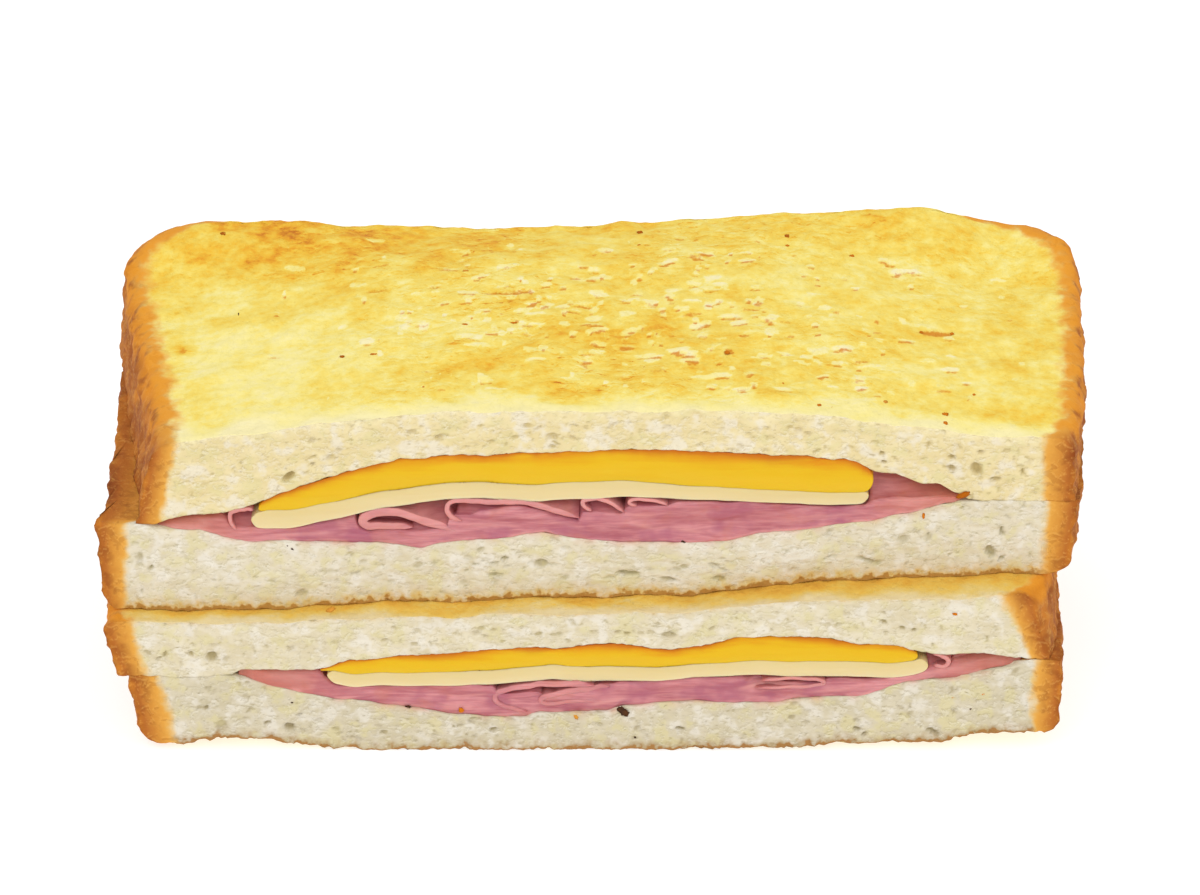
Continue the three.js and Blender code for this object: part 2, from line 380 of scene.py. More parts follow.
class Stack:
    """The surfaces between the foods, which each shares with its neighbours, and where they lie."""

    GRAIN = Grain(4.5, 4)

    def __init__(self) -> None:
        """Draws the surfaces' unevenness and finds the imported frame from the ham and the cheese."""
        self.noise = {name: Lattice(seed) for seed, name in enumerate(UNEVEN, start=11)}
        ham_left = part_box("lower_ham_bed")[0].x / MM
        cheese_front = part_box("lower_cheese_orange")[0].y / MM
        self.offset = np.array([ham_left - PILES[Half.LOWER].bed[0], cheese_front, 0.0])

    def metres(self, points: Array) -> Array:
        """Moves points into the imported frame."""
        return (points + self.offset) * MM

    @staticmethod
    def at_cut(name: str, x: Value) -> Value:
        """Reads a surface's line at the cut, from its drawn line or from its stations."""
        if name == "top":
            return through(TOP_AT_CUT, (x - FIRST_STATION) / STATION)
        return rounded(CUT_LINES[name], x)

    def even(self, name: str, x: Value, y: Value) -> Value:
        """Reads a surface's main form.

        Args:
            name: The surface.
            x: Place along the cut.
            y: Depth behind the cut face.

        Returns:
            Its height over the table.
        """
        at_back = through(BACK_HEIGHTS[name], (x - FIRST_STATION) / BACK_STATION)
        z = mix(at_back, self.at_cut(name, x), 1.0 - smooth(FILLING_FULL, FILLING_GONE, y))
        for swell in SWELLS.get(name, ()):
            z = z + swell.rise * hump(x, swell.x, swell.wide) * hump(y, swell.y, swell.deep)
        return z

    def at(self, name: str, x: Value, y: Value) -> Value:
        """Reads a surface with its unevenness."""
        return self.even(name, x, y) + self.rough(name, x, y)

    def rough(self, name: str, x: Value, y: Value) -> Value:
        """Reads a surface's unevenness."""
        return UNEVEN[name] * self.noise[name].layered(flat(x, y), self.GRAIN)

    def room(self, half: Half, x: Value, y: Value) -> Value:
        """How far apart the inner faces of a half's two slices lie."""
        return self.even(f"{half.value}_roof", x, y) - self.even(f"{half.value}_floor", x, y)

    def faces(self, half: Half, x: Value, y: Value) -> tuple[Value, Value]:
        """Reads the inner faces of a half's two slices, which close where nothing lies between them.

        Args:
            half: The half.
            x: Places along the cut.
            y: Depths behind the cut face.

        Returns:
            The heights of the bottom slice's upper face and the top slice's lower face.
        """
        low, high = f"{half.value}_floor", f"{half.value}_roof"
        floor, roof = self.even(low, x, y), self.even(high, x, y)
        shut = 1.0 - smooth(*SHUT_ROOMS, roof - floor)
        room = np.maximum(roof - floor - CLEARANCE * shut, -HAIR)
        floor_rough, roof_rough = self.rough(low, x, y), self.rough(high, x, y)
        middle = (floor + roof) / 2.0
        return middle - room / 2.0 + floor_rough, middle + room / 2.0 + mix(roof_rough, floor_rough, shut)


def cut_face(half: Half, x: Value) -> Value:
    """How far behind the lower half's cut face a half is cut."""
    return SETBACK + TURN * x if half is Half.UPPER else 0.0 * x


class Shell:
    """The closed surface of a block as one lattice of points, with hidden sides filled by a coarser one."""

    def __init__(self, lines: Sequence[Array], coarse: Sequence[Side] = (), step: int = 9) -> None:
        """Lays out the points and faces.

        Args:
            lines: The places of the lattice's planes along each axis, as shares from 0 to 1.
            coarse: Sides that don't show.
            step: How many lines of the lattice one line of a coarse side stands for.
        """
        self.lines = lines
        shape = tuple(len(line) for line in lines)
        places = np.indices(shape)
        ends = [(places[axis] == 0) | (places[axis] == shape[axis] - 1) for axis in range(3)]
        kept = ends[0] | ends[1] | ends[2]
        for side in coarse:
            axis, end = side.value
            here = places[axis] == end * (shape[axis] - 1)
            along, up = (ends[other] for other in range(3) if other != axis)
            kept &= ~(here & ~along & ~up)
        self.ids = np.full(shape, -1)
        self.ids[kept] = np.arange(kept.sum())
        self.shares = np.stack([lines[axis][places[axis][kept]] for axis in range(3)], axis=-1)
        self.faces: list[Array] = []
        for side in Side:
            if side in coarse:
                self._fill(side, step)
            else:
                self._cover(self.side(side), self._turned(side))

    def side(self, side: Side) -> Array:
        """The numbers of the points on one side, along its two axes."""
        axis, end = side.value
        return np.take(self.ids, -end, axis=axis)

    @staticmethod
    def _turned(side: Side) -> bool:
        """Whether a side's faces are listed the other way round to look outwards."""
        axis, end = side.value
        return (end == 0) != (axis == 1)

    def _cover(self, grid: Array, turned: bool) -> None:
        """Adds the faces of a grid of points."""
        corners = (grid[:-1, :-1], grid[1:, :-1], grid[1:, 1:], grid[:-1, 1:])
        quads = np.stack([corner.ravel() for corner in corners], axis=-1)
        self.faces.append(quads[:, ::-1] if turned else quads)

    @staticmethod
    def _round_edge(grid: Array) -> tuple[Array, Array]:
        """Walks round the edge of a grid.

        Args:
            grid: Numbers of points.

        Returns:
            The numbers in order back to the first, and how far round each is, from 0 to 4.
        """
        sides = (grid[:, 0], grid[-1, :], grid[::-1, -1], grid[0, ::-1])
        numbers = np.concatenate([side[:-1] for side in sides] + [sides[0][:1]])
        along = [k + np.linspace(0.0, 1.0, len(side))[:-1] for k, side in enumerate(sides)]
        return numbers, np.concatenate([*along, [4.0]])

    def _fill(self, side: Side, step: int) -> None:
        """Fills a side with a coarse grid, joined to the fine points round it.

        Args:
            side: The side to fill.
            step: How many fine lines a coarse line stands for.
        """
        axis, end = side.value
        across, up = (self.lines[other][1:-1] for other in range(3) if other != axis)
        across, up = across[step // 2 :: step], up[min(step // 2, len(up) - 1) :: step]
        first = len(self.shares)
        grid = first + np.arange(len(across) * len(up)).reshape(len(across), len(up))
        places = np.meshgrid(across, up, indexing="ij")
        columns = [place.ravel() for place in places]
        columns.insert(axis, np.full(grid.size, float(end)))
        self.shares = np.vstack([self.shares, np.stack(columns, axis=-1)])
        turned = self._turned(side)
        self._cover(grid, turned)
        outer, outer_at = self._round_edge(self.side(side))
        inner, inner_at = self._round_edge(grid)
        triangles = []
        i = j = 0
        while i < len(outer) - 1 or j < len(inner) - 1:
            outward = j == len(inner) - 1 or (i < len(outer) - 1 and outer_at[i + 1] <= inner_at[j + 1])
            if outward:
                triangles.append((outer[i], outer[i + 1], inner[j]))
                i += 1
            else:
                triangles.append((outer[i], inner[j + 1], inner[j]))
                j += 1
        found = np.array(triangles)
        self.faces.append(found[:, ::-1] if turned else found)


@dataclass(frozen=True)
class Dent:
    """A hole, tear or mark on a surface: its middle, half lengths, tilt in degrees, depth and darkness."""

    REACH = 1.4  # how far it is felt, in half lengths
    RIM = (0.35, 1.25)  # from full depth to none

    across: float
    up: float
    length: float
    height: float
    tilt: float = 0.0
    depth: float = 0.5
    dark: float = 1.0


def press(dents: Sequence[Dent], across: Array, up: Array) -> tuple[Array, Array]:
    """Presses dents into a grid of points.

    Args:
        dents: What to press.
        across: The grid's first coordinate, which rises along its first axis.
        up: Its second coordinate.

    Returns:
        How deep each point is pressed, and how dark it becomes.
    """
    depth = np.zeros(across.shape)
    dark = np.zeros(across.shape)
    column = across[:, across.shape[1] // 2]
    for dent in dents:
        reach = max(dent.length, dent.height) * dent.REACH
        window = slice(*np.searchsorted(column, (dent.across - reach, dent.across + reach)))
        turn = math.radians(dent.tilt)
        x, z = across[window] - dent.across, up[window] - dent.up
        along = (x * math.cos(turn) + z * math.sin(turn)) / dent.length
        over = (z * math.cos(turn) - x * math.sin(turn)) / dent.height
        inside = 1.0 - smooth(*dent.RIM, along**2 + over**2)
        depth[window] = np.maximum(depth[window], dent.depth * inside)
        dark[window] = np.maximum(dark[window], dent.dark * inside)
    return depth, dark


def make_piece(
    name: str,
    points: Array,
    faces: Sequence[Array],
    shades: dict[str, Array],
    material: bpy.types.Material,
    nodes: Sequence[str],
    stack: Stack,
) -> bpy.types.Object:
    """Makes a mesh object that rides with the sandwich.

    Args:
        name: The piece's name.
        points: Its points, in millimetres.
        faces: Arrays of quads or triangles.
        shades: Values at the points that its material reads.
        material: Its finish.
        nodes: The solids it stands for.
        stack: Where the piece lies.

    Returns:
        The object.
    """
    mesh = bpy.data.meshes.new(name)
    listed = [face for group in faces for face in group.tolist()]
    mesh.from_pydata(stack.metres(points), [], listed)
    for shade, values in shades.items():
        attribute = mesh.attributes.new(shade, "FLOAT", "POINT")
        attribute.data.foreach_set("value", np.ascontiguousarray(values, np.float32))
    mesh.shade_smooth()
    mesh.materials.append(material)
    piece = bpy.data.objects.new(name, mesh)
    bpy.context.scene.collection.objects.link(piece)
    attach(piece, "root")
    if nodes:
        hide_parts(*nodes)
    stands_for = ", ".join(nodes) or "no solid"
    log.info("%s: %d points, %d faces, for %s", name, len(points), len(listed), stands_for)
    return piece


def srgb(red: float, green: float, blue: float) -> Colour:
    """Turns a colour as seen on a screen, from 0 to 255, into a shader's colour."""
    shares = np.array([red, green, blue]) / 255.0
    linear = np.where(shares <= 0.04045, shares / 12.92, ((shares + 0.055) / 1.055) ** 2.4) / STUDIO_LEVEL
    return (*(float(value) for value in linear), 1.0)


class Nodes:
    """Adds nodes to one tree and links them, so that a material reads as a list of steps."""

    def __init__(self, tree: bpy.types.NodeTree) -> None:
        """Takes the tree to fill."""
        self.tree = tree

    def feed(self, socket: Socket, value: Input) -> None:
        """Links a socket to another one, or sets its number.

        Args:
            socket: The socket to feed.
            value: The other socket, or the number.
        """
        if isinstance(value, bpy.types.NodeSocket):
            self.tree.links.new(value, socket)
        else:
            socket.default_value = value

    def add(
        self, kind: str, inputs: dict[str | int, Input] | None = None, **settings: object
    ) -> bpy.types.Node:
        """Adds a node.

        Args:
            kind: The node's type.
            inputs: What goes into its sockets, by name or number.
            **settings: The node's own settings.

        Returns:
            The node.
        """
        node = self.tree.nodes.new(kind)
        for key, value in settings.items():
            setattr(node, key, value)
        for key, value in (inputs or {}).items():
            self.feed(node.inputs[key], value)
        return node

    def math(self, operation: str, a: Input, b: Input = 0.0, clamp: bool = False) -> Socket:
        """Works out one sum."""
        return self.add("ShaderNodeMath", {0: a, 1: b}, operation=operation, use_clamp=clamp).outputs[0]

    def plus(self, first: Input, *others: Input, clamp: bool = False) -> Socket:
        """Adds values up."""
        total = self.plus(first, *others[:-1]) if len(others) > 1 else first
        return self.math("ADD", total, others[-1], clamp)

    def less(self, a: Input, b: Input, clamp: bool = False) -> Socket:
        """Takes b from a."""
        return self.math("SUBTRACT", a, b, clamp)

    def times(self, a: Input, b: Input) -> Socket:
        """Multiplies two values."""
        return self.math("MULTIPLY", a, b)

    def swing(self, value: Input, most: float) -> Socket:
        """Turns a value from 0 to 1 into one as far below as above 0, times most."""
        return self.times(self.less(value, 0.5), most)

    def mix(self, factor: Input, a: Input, b: Input) -> Socket:
        """Mixes two colours by a factor."""
        return self.add("ShaderNodeMix", {0: factor, 6: a, 7: b}, data_type="RGBA").outputs[2]

    def tint(self, colour: Input, share: Input, other: Input, strength: float = 1.0) -> Socket:
        """Mixes another colour into one, by a share times a strength."""
        return self.mix(share if strength == 1.0 else self.times(share, strength), colour, other)

    def rise(self, value: Input, low: Input, high: Input) -> Socket:
        """Rises smoothly from 0 at low to 1 at high."""
        inputs = {"Value": value, "From Min": low, "From Max": high}
        return self.add("ShaderNodeMapRange", inputs, interpolation_type="SMOOTHSTEP").outputs[0]

    def ramp(self, value: Input, stops: Sequence[tuple[float, Colour]]) -> Socket:
        """Colours a value.

        Args:
            value: The value, from 0 to 1.
            stops: Places and their colours, in order.

        Returns:
            The colour.
        """
        node = self.add("ShaderNodeValToRGB", {0: value})
        elements = node.color_ramp.elements
        while len(elements) < len(stops):
            elements.new(1.0)
        for element, (position, colour) in zip(elements, stops):
            element.position = position
            element.color = colour
        return node.outputs[0]

    def vector(self, operation: str, a: Input, b: Input) -> Socket:
        """Works out one sum of places."""
        return self.add("ShaderNodeVectorMath", {0: a, 1: b}, operation=operation).outputs[0]

    def scaled(self, vector: Input, sizes: Sequence[Input]) -> Socket:
        """Divides a place by a length for each axis."""
        lengths = self.add("ShaderNodeCombineXYZ", dict(enumerate(sizes))).outputs[0]
        return self.vector("DIVIDE", vector, lengths)

    def noise(self, vector: Input, **settings: float) -> Socket:
        """Noise of one unit, from 0 to 1."""
        return self.add("ShaderNodeTexNoise", {"Vector": vector, "Scale": 1.0, **settings}).outputs[0]

    def read(self, shade: str) -> Socket:
        """Reads a value that the mesh holds at its points."""
        return self.add("ShaderNodeAttribute", attribute_name=shade).outputs["Fac"]


class Group:
    """A group of nodes that several finishes share."""

    def __init__(self, name: str, inputs: dict[str, str], outputs: Sequence[str]) -> None:
        """Makes the group with its sockets.

        Args:
            name: The group's name.
            inputs: Socket names and types.
            outputs: Names of the numbers that it puts out.
        """
        self.tree = bpy.data.node_groups.new(name, "ShaderNodeTree")
        for in_out, sockets in (("INPUT", inputs), ("OUTPUT", dict.fromkeys(outputs, "Float"))):
            for socket, kind in sockets.items():
                self.tree.interface.new_socket(socket, in_out=in_out, socket_type=f"NodeSocket{kind}")
        self.nodes = Nodes(self.tree)
        self.given = self.nodes.add("NodeGroupInput").outputs
        self.result = self.nodes.add("NodeGroupOutput").inputs

    def give(self, **results: Socket) -> "Group":
        """Links the group's outputs.

        Args:
            **results: What each puts out.

        Returns:
            The group.
        """
        for name, value in results.items():
            self.nodes.feed(self.result[name], value)
        return self

    def use(self, nodes: Nodes, **inputs: Input) -> Outputs:
        """Places the group in a material.

        Args:
            nodes: The material's nodes.
            **inputs: What goes into the group's sockets.

        Returns:
            The group's output sockets.
        """
        placed = nodes.add("ShaderNodeGroup", node_tree=self.tree)
        for socket, value in inputs.items():
            nodes.feed(placed.inputs[socket], value)
        return placed.outputs


class Effects:
    """The effects that the foods share."""

    def __init__(self) -> None:
        """Builds every group once."""
        self.mottle = self._mottle()
        self.streaks = self._streaks()
        self.pores = self._pores()
        self.flecks = self._flecks()

    @staticmethod
    def _mottle() -> Group:
        """Soft uneven patches of a given size.

        Returns:
            A group that puts out a value from 0 to 1.
        """
        group = Group("mottle", {"Vector": "Vector", "Size": "Float", "Contrast": "Float"}, ["Value"])
        nodes, given = group.nodes, group.given
        noise = nodes.noise(nodes.scaled(given["Vector"], [given["Size"]] * 3), Detail=2.5, Roughness=0.5)
        spread = nodes.times(nodes.less(noise, 0.5), given["Contrast"])
        return group.give(Value=nodes.plus(spread, 0.5, clamp=True))

    @staticmethod
    def _streaks() -> Group:
        """Streaks along the cut, of a given length and thickness.

        Returns:
            A group that puts out a value and a height.
        """
        sizes = {"Vector": "Vector", "Length": "Float", "Thickness": "Float"}
        group = Group("streaks", sizes, ["Value", "Height"])
        nodes, given = group.nodes, group.given
        place = nodes.scaled(given["Vector"], (given["Length"], given["Length"], given["Thickness"]))
        bent = nodes.noise(place, Detail=3.0, Distortion=0.6)
        return group.give(Value=nodes.rise(bent, 0.3, 0.7), Height=bent)

    @staticmethod
    def _pores() -> Group:
        """Small flat pores, of a given size, flatness and amount from 0 to 1.

        Returns:
            A group that puts out a mask and a height.
        """
        sizes = {"Vector": "Vector", "Size": "Float", "Flatness": "Float", "Amount": "Float"}
        group = Group("pores", sizes, ["Mask", "Height"])
        nodes, given = group.nodes, group.given
        wide = nodes.times(given["Size"], given["Flatness"])
        place = nodes.scaled(given["Vector"], (wide, wide, given["Size"]))
        cells = nodes.add("ShaderNodeTexVoronoi", {"Vector": place, "Scale": 1.0, "Randomness": 1.0})
        chance = nodes.add("ShaderNodeSeparateColor", {0: cells.outputs["Color"]}).outputs
        chosen = nodes.math("LESS_THAN", chance[0], given["Amount"])
        radius = nodes.plus(nodes.times(chance[1], 0.22), 0.16)
        hole = nodes.less(1.0, nodes.rise(cells.outputs["Distance"], nodes.times(radius, 0.45), radius))
        mask = nodes.times(hole, chosen)
        return group.give(Mask=mask, Height=nodes.less(1.0, mask))

    @staticmethod
    def _flecks() -> Group:
        """Ragged flecks of a given size, each with a lip on one side, which the finishes use for painted
        shade and painted highlights.

        Returns:
            A group that puts out the flecks, their lips and a height.
        """
        sizes = {"Vector": "Vector", "Size": "Vector", "Lip": "Vector", "Level": "Float"}
        group = Group("flecks", sizes, ["Fleck", "Lip", "Height"])
        nodes, given = group.nodes, group.given
        above = nodes.plus(given["Level"], 0.035)
        grain = {"Detail": 3.0, "Roughness": 0.6, "Distortion": 0.7}

        def ragged(place: Socket) -> Socket:
            """The flecks at a place."""
            noise = nodes.noise(nodes.vector("DIVIDE", place, given["Size"]), **grain)
            return nodes.rise(noise, given["Level"], above)

        fleck = ragged(given["Vector"])
        lip = nodes.less(ragged(nodes.vector("ADD", given["Vector"], given["Lip"])), fleck, clamp=True)
        return group.give(Fleck=fleck, Lip=lip, Height=nodes.less(fleck, lip))


class Paint(Nodes):
    """The nodes of one material, with the shared effects laid over the piece in millimetres."""

    def __init__(self, tree: bpy.types.NodeTree, effects: Effects) -> None:
        """Takes the tree to fill and the shared groups."""
        super().__init__(tree)
        self.effects = effects
        place = self.add("ShaderNodeTexCoord").outputs["Object"]
        self.place = self.add("ShaderNodeVectorMath", {0: place, 3: 1.0 / MM}, operation="SCALE").outputs[0]

    def mottle(self, size: float, contrast: float) -> Socket:
        """Soft uneven patches."""
        return self.effects.mottle.use(self, Vector=self.place, Size=size, Contrast=contrast)["Value"]

    def streaks(self, length: float, thickness: float) -> Outputs:
        """Streaks along the cut."""
        return self.effects.streaks.use(self, Vector=self.place, Length=length, Thickness=thickness)

    def pores(self, size: float, flatness: float, amount: float) -> Outputs:
        """Small flat pores."""
        return self.effects.pores.use(self, Vector=self.place, Size=size, Flatness=flatness, Amount=amount)

    def flecks(self, size: Sequence[float], lip: Sequence[float], level: float) -> Outputs:
        """Ragged flecks with a lip, the rarer the higher the level."""
        return self.effects.flecks.use(self, Vector=self.place, Size=size, Lip=lip, Level=level)


@dataclass(frozen=True)
class Surface:
    """How a food takes the light, in numbers that are the same all over it."""

    roughness: float
    specular: float
    glow: float  # share of the light that travels under the surface
    glow_depth: float
    glow_colours: tuple[float, float, float]
    bump: float
    bump_depth: float
    coat: float = 0.0


@dataclass(frozen=True)
class Finish:
    """A food's material: its name and how it takes the light. Each food colours it in its own way."""

    name: str
    surface: Surface

    def colour(self, paint: Paint) -> tuple[Socket, Socket]:
        """Works out the colour and the fine height over the surface.

        Args:
            paint: The material's nodes.

        Returns:
            The colour and the height.
        """
        raise NotImplementedError

    def build(self, effects: Effects) -> bpy.types.Material:
        """Makes the material.

        Args:
            effects: The shared groups.

        Returns:
            The material.
        """
        material = bpy.data.materials.new(self.name)
        material.use_nodes = True
        material.node_tree.nodes.clear()
        paint = Paint(material.node_tree, effects)
        colour, height = self.colour(paint)
        shape = {"Strength": self.surface.bump, "Distance": self.surface.bump_depth * MM, "Height": height}
        inputs = {
            "Base Color": colour,
            "Roughness": self.surface.roughness,
            "Specular IOR Level": self.surface.specular,
            "Subsurface Weight": self.surface.glow,
            "Subsurface Radius": self.surface.glow_colours,
            "Subsurface Scale": self.surface.glow_depth * MM,
            "Coat Weight": self.surface.coat,
            "Coat Roughness": 0.25,
            "Normal": paint.add("ShaderNodeBump", shape).outputs[0],
        }
        shader = paint.add("ShaderNodeBsdfPrincipled", inputs)
        paint.add("ShaderNodeOutputMaterial", {"Surface": shader.outputs[0]})
        return material


@dataclass(frozen=True)
class ToastedBread(Finish):
    """White bread toasted on its outer face, with a brown crust."""

    crumb: Colour
    crumb_shade: Colour
    # Painted shade in the crumb's pores and along the lips of its flecks
    pore_shade: Colour
    toasts: Sequence[tuple[float, Colour]]  # colours of the toasted face, from plain to burnt
    scorch: Colour  # colour of the toasted face seen edge-on at the cut

    def colour(self, paint: Paint) -> tuple[Socket, Socket]:
        """Colours crumb, toast and crust from what the mesh holds.

        Args:
            paint: The material's nodes.

        Returns:
            The colour and the height.
        """
        soft, fine = paint.mottle(2.2, 2.5), paint.mottle(0.45, 1.8)
        pores = paint.pores(0.62, 2.0, 0.3)
        crumb, ridges = self._crumb(paint, pores["Mask"])
        toast, relief = self._toast(paint, fine)
        toasting = paint.read("toast")
        bread = self._browned(paint, paint.mix(paint.rise(toasting, 0.0, 0.05), crumb, toast))
        inside = paint.read("crust")
        wander = paint.times(paint.swing(soft, 0.9), paint.rise(inside, 0.2, 2.0))
        depth = paint.plus(inside, wander)
        golden = paint.times(paint.rise(toasting, 0.0, 0.4), paint.rise(soft, 1.1, 0.4))
        crust = paint.tint(self._crust(paint, depth, soft, fine), golden, srgb(242, 156, 24), 0.6)
        colour = paint.mix(paint.rise(depth, 3.0, 4.3), crust, bread)
        burnt = paint.plus(paint.read("stain"), paint.swing(fine, 0.5))
        colour = paint.tint(colour, paint.rise(burnt, 0.2, 0.8), srgb(222, 132, 20), 0.85)
        height = paint.plus(paint.times(pores["Height"], 0.45), paint.times(ridges, 0.14))
        height = paint.times(height, paint.rise(depth, 2.6, 4.3))
        return colour, paint.plus(height, paint.times(fine, 0.28), paint.times(relief, 0.12))

    def _crumb(self, paint: Paint, pores: Socket) -> tuple[Socket, Socket]:
        """Colours the crumb at the cut.

        Args:
            paint: The material's nodes.
            pores: Mask of small pores.

        Returns:
            The colour and the height of its fibres.
        """
        share = paint.plus(paint.mottle(4.0, 2.4), paint.streaks(3.0, 1.1)["Value"])
        crumb = paint.tint(self.crumb, share, self.crumb_shade, 0.5)
        # Flecks of the crumb, each with a lip above it
        long = paint.flecks((1.6, 1.6, 0.8), (0.05, 0.0, -0.26), 0.57)
        short = paint.flecks((0.8, 0.8, 0.5), (0.05, 0.0, -0.16), 0.58)
        tints = paint.mottle(2.6, 3.0)
        crumb = paint.tint(crumb, paint.rise(tints, 0.55, 0.95), srgb(220, 208, 150), 0.5)
        crumb = paint.tint(crumb, paint.rise(tints, 0.45, 0.05), srgb(238, 232, 222), 0.5)
        # Painted highlights on the pale flecks
        crumb = paint.tint(crumb, paint.plus(long["Fleck"], short["Fleck"]), srgb(250, 244, 226), 0.2)
        # Painted shade on the lips above the flecks and in small pores
        lips = paint.times(paint.plus(long["Lip"], short["Lip"]), 0.2)
        crumb = paint.tint(crumb, paint.plus(lips, paint.times(pores, 0.35), clamp=True), self.pore_shade)
        # Painted shade in the holes pressed into the mesh
        crumb = paint.tint(crumb, paint.read("pore_shade"), self.pore_shade, 0.8)
        crumb = paint.tint(crumb, paint.read("blush"), srgb(222, 158, 138), 0.6)
        return crumb, paint.plus(long["Height"], short["Height"])

    def _browned(self, paint: Paint, bread: Socket) -> Socket:
        """Browns the edge of the cut next to the toasted face, softly and with ragged burnt lines.

        Args:
            paint: The material's nodes.
            bread: Colour of the bread.

        Returns:
            The colour.
        """
        edge = paint.read("scorch")
        uneven = paint.times(paint.swing(paint.mottle(1.2, 2.6), 0.6), paint.rise(edge, 0.1, 0.5))
        level = paint.plus(edge, uneven)
        bread = paint.tint(bread, paint.rise(level, 0.1, 0.9), self.scorch, 0.9)
        return paint.tint(bread, paint.rise(level, 0.64, 0.8), srgb(168, 110, 44), 0.7)

    def _toast(self, paint: Paint, fine: Socket) -> tuple[Socket, Socket]:
        """Colours the toasted face.

        Args:
            paint: The material's nodes.
            fine: Fine mottling.

        Returns:
            The colour and the height of its torn flecks.
        """
        toasting, torn = paint.read("toast"), paint.read("torn")
        large = paint.flecks((3.2, 1.7, 1.7), (0.0, 0.55, 0.0), 0.56)
        small = paint.flecks((1.4, 0.9, 0.9), (0.0, 0.3, 0.0), 0.57)
        burnt = paint.flecks((1.9, 0.8, 0.8), (0.0, 0.2, 0.0), 0.63)
        # Pale flecks of torn crumb with a browner lip on the near side: browned crumb with painted shade
        # along the tear
        fleck = paint.times(paint.plus(large["Fleck"], small["Fleck"]), 0.1)
        lip = paint.times(paint.plus(large["Lip"], small["Lip"]), 0.1)
        seared = paint.times(burnt["Fleck"], paint.rise(toasting, 0.3, 0.6))
        seared = paint.times(seared, paint.rise(toasting, 0.8, 0.62))
        change = paint.times(paint.plus(paint.less(lip, fleck), paint.times(seared, 0.34)), torn)
        frayed = paint.plus(paint.read("lifted"), paint.swing(fine, 0.5))
        change = paint.less(change, paint.times(paint.rise(frayed, 0.2, 0.8), 0.38))
        broad, middle = paint.swing(paint.mottle(5.0, 2.2), 0.3), paint.swing(paint.mottle(1.5, 2.2), 0.24)
        grain = paint.plus(broad, middle, paint.swing(fine, 0.1))
        grain = paint.times(grain, paint.rise(toasting, 0.05, 0.35))
        toasted = paint.plus(toasting, change, grain, clamp=True)
        return paint.ramp(toasted, self.toasts), paint.times(large["Height"], torn)

    def _crust(self, paint: Paint, depth: Socket, soft: Socket, fine: Socket) -> Socket:
        """Colours the crust from its dark outside to its golden inside.

        Args:
            paint: The material's nodes.
            depth: How far inside the crust, in millimetres.
            soft: Soft mottling.
            fine: Fine mottling.

        Returns:
            The colour.
        """
        layered = paint.ramp(paint.math("DIVIDE", depth, CRUST), CRUST_COLOURS)
        wall = paint.mix(paint.mottle(5.0, 2.4), srgb(146, 72, 22), srgb(212, 132, 44))
        crust = paint.mix(paint.rise(depth, 0.1, 0.9), wall, layered)
        outer = paint.less(1.0, paint.rise(depth, 1.5, 3.6))
        dark = paint.times(paint.rise(soft, 0.5, 0.95), outer)
        crust = paint.tint(crust, dark, srgb(148, 76, 24), 0.6)
        # Painted shade in small pits of the crust, with a painted highlight on the lip above each
        pits = paint.flecks((2.0, 2.0, 1.6), (0.0, 0.0, -0.3), 0.56)
        crust = paint.tint(crust, pits["Fleck"], srgb(142, 74, 22), 0.24)
        crust = paint.tint(crust, pits["Lip"], srgb(244, 190, 104), 0.15)
        crust = paint.tint(crust, paint.rise(fine, 0.6, 0.95), srgb(240, 180, 88), 0.3)
        return paint.tint(crust, paint.read("flake"), srgb(236, 180, 96))


@dataclass(frozen=True)
class Cheese(Finish):
    """Smooth sliced cheese, deeper in colour towards its top."""

    high: Colour
    middle: Colour
    low: Colour
    # Deeper orange of the orange slice's top edge, partly painted shade where the bread lies on it; paler
    # along the pale slice's bottom
    edge: Colour

    def colour(self, paint: Paint) -> tuple[Socket, Socket]:
        """Colours the slice from its height and faint streaks.

        Args:
            paint: The material's nodes.

        Returns:
            The colour and the height.
        """
        streaks = paint.streaks(16.0, 1.3)
        uneven = paint.less(paint.plus(streaks["Value"], paint.mottle(6.0, 1.5)), 1.0)
        level = paint.plus(paint.read("level"), paint.times(uneven, 0.3), clamp=True)
        colour = paint.ramp(level, [(0.0, self.low), (0.5, self.middle), (0.95, self.high)])
        colour = paint.tint(colour, paint.read("edge"), self.edge)
        fine = paint.times(paint.mottle(0.9, 1.0), 0.3)
        return colour, paint.plus(paint.times(streaks["Height"], 0.8), fine)


@dataclass(frozen=True)
class SlicedHam(Finish):
    """Moist pink ham in thin slices, pale at its cut edges, with painted shade in its folds and in the
    hollows behind the cut.
    """

    body: Colour
    light: Colour
    dusky: Colour
    warm: Colour
    # Painted shade: the deep red of the folds, of the hollows behind the cut and of dark streaks
    deep: Colour
    # Pale cut edges and fringe, and painted highlights and light along light streaks
    rim: Colour

    def colour(self, paint: Paint) -> tuple[Socket, Socket]:
        """Colours the meat from its streaks and folds.

        Args:
            paint: The material's nodes.

        Returns:
            The colour and the height.
        """
        broad, thin = paint.streaks(9.0, 1.5), paint.streaks(4.5, 0.45)
        colour = paint.tint(self.body, paint.plus(broad["Value"], thin["Value"]), self.light, 0.5)
        colour = paint.tint(colour, paint.rise(paint.mottle(4.5, 2.6), 0.5, 0.95), self.dusky, 0.6)
        patches = paint.times(paint.rise(paint.mottle(3.2, 2.6), 0.55, 1.0), 0.4)
        colour = paint.tint(colour, paint.plus(paint.read("warm"), patches, clamp=True), self.warm, 0.8)
        # Pale cut edges, and painted highlights and light along the light streaks
        colour = paint.tint(colour, paint.read("rim"), self.rim)
        # Painted shade in the folds and hollows and along dark streaks
        colour = paint.tint(colour, paint.read("fold"), self.deep)
        return colour, paint.plus(paint.times(thin["Height"], 0.5), paint.times(paint.mottle(0.5, 1.2), 0.3))


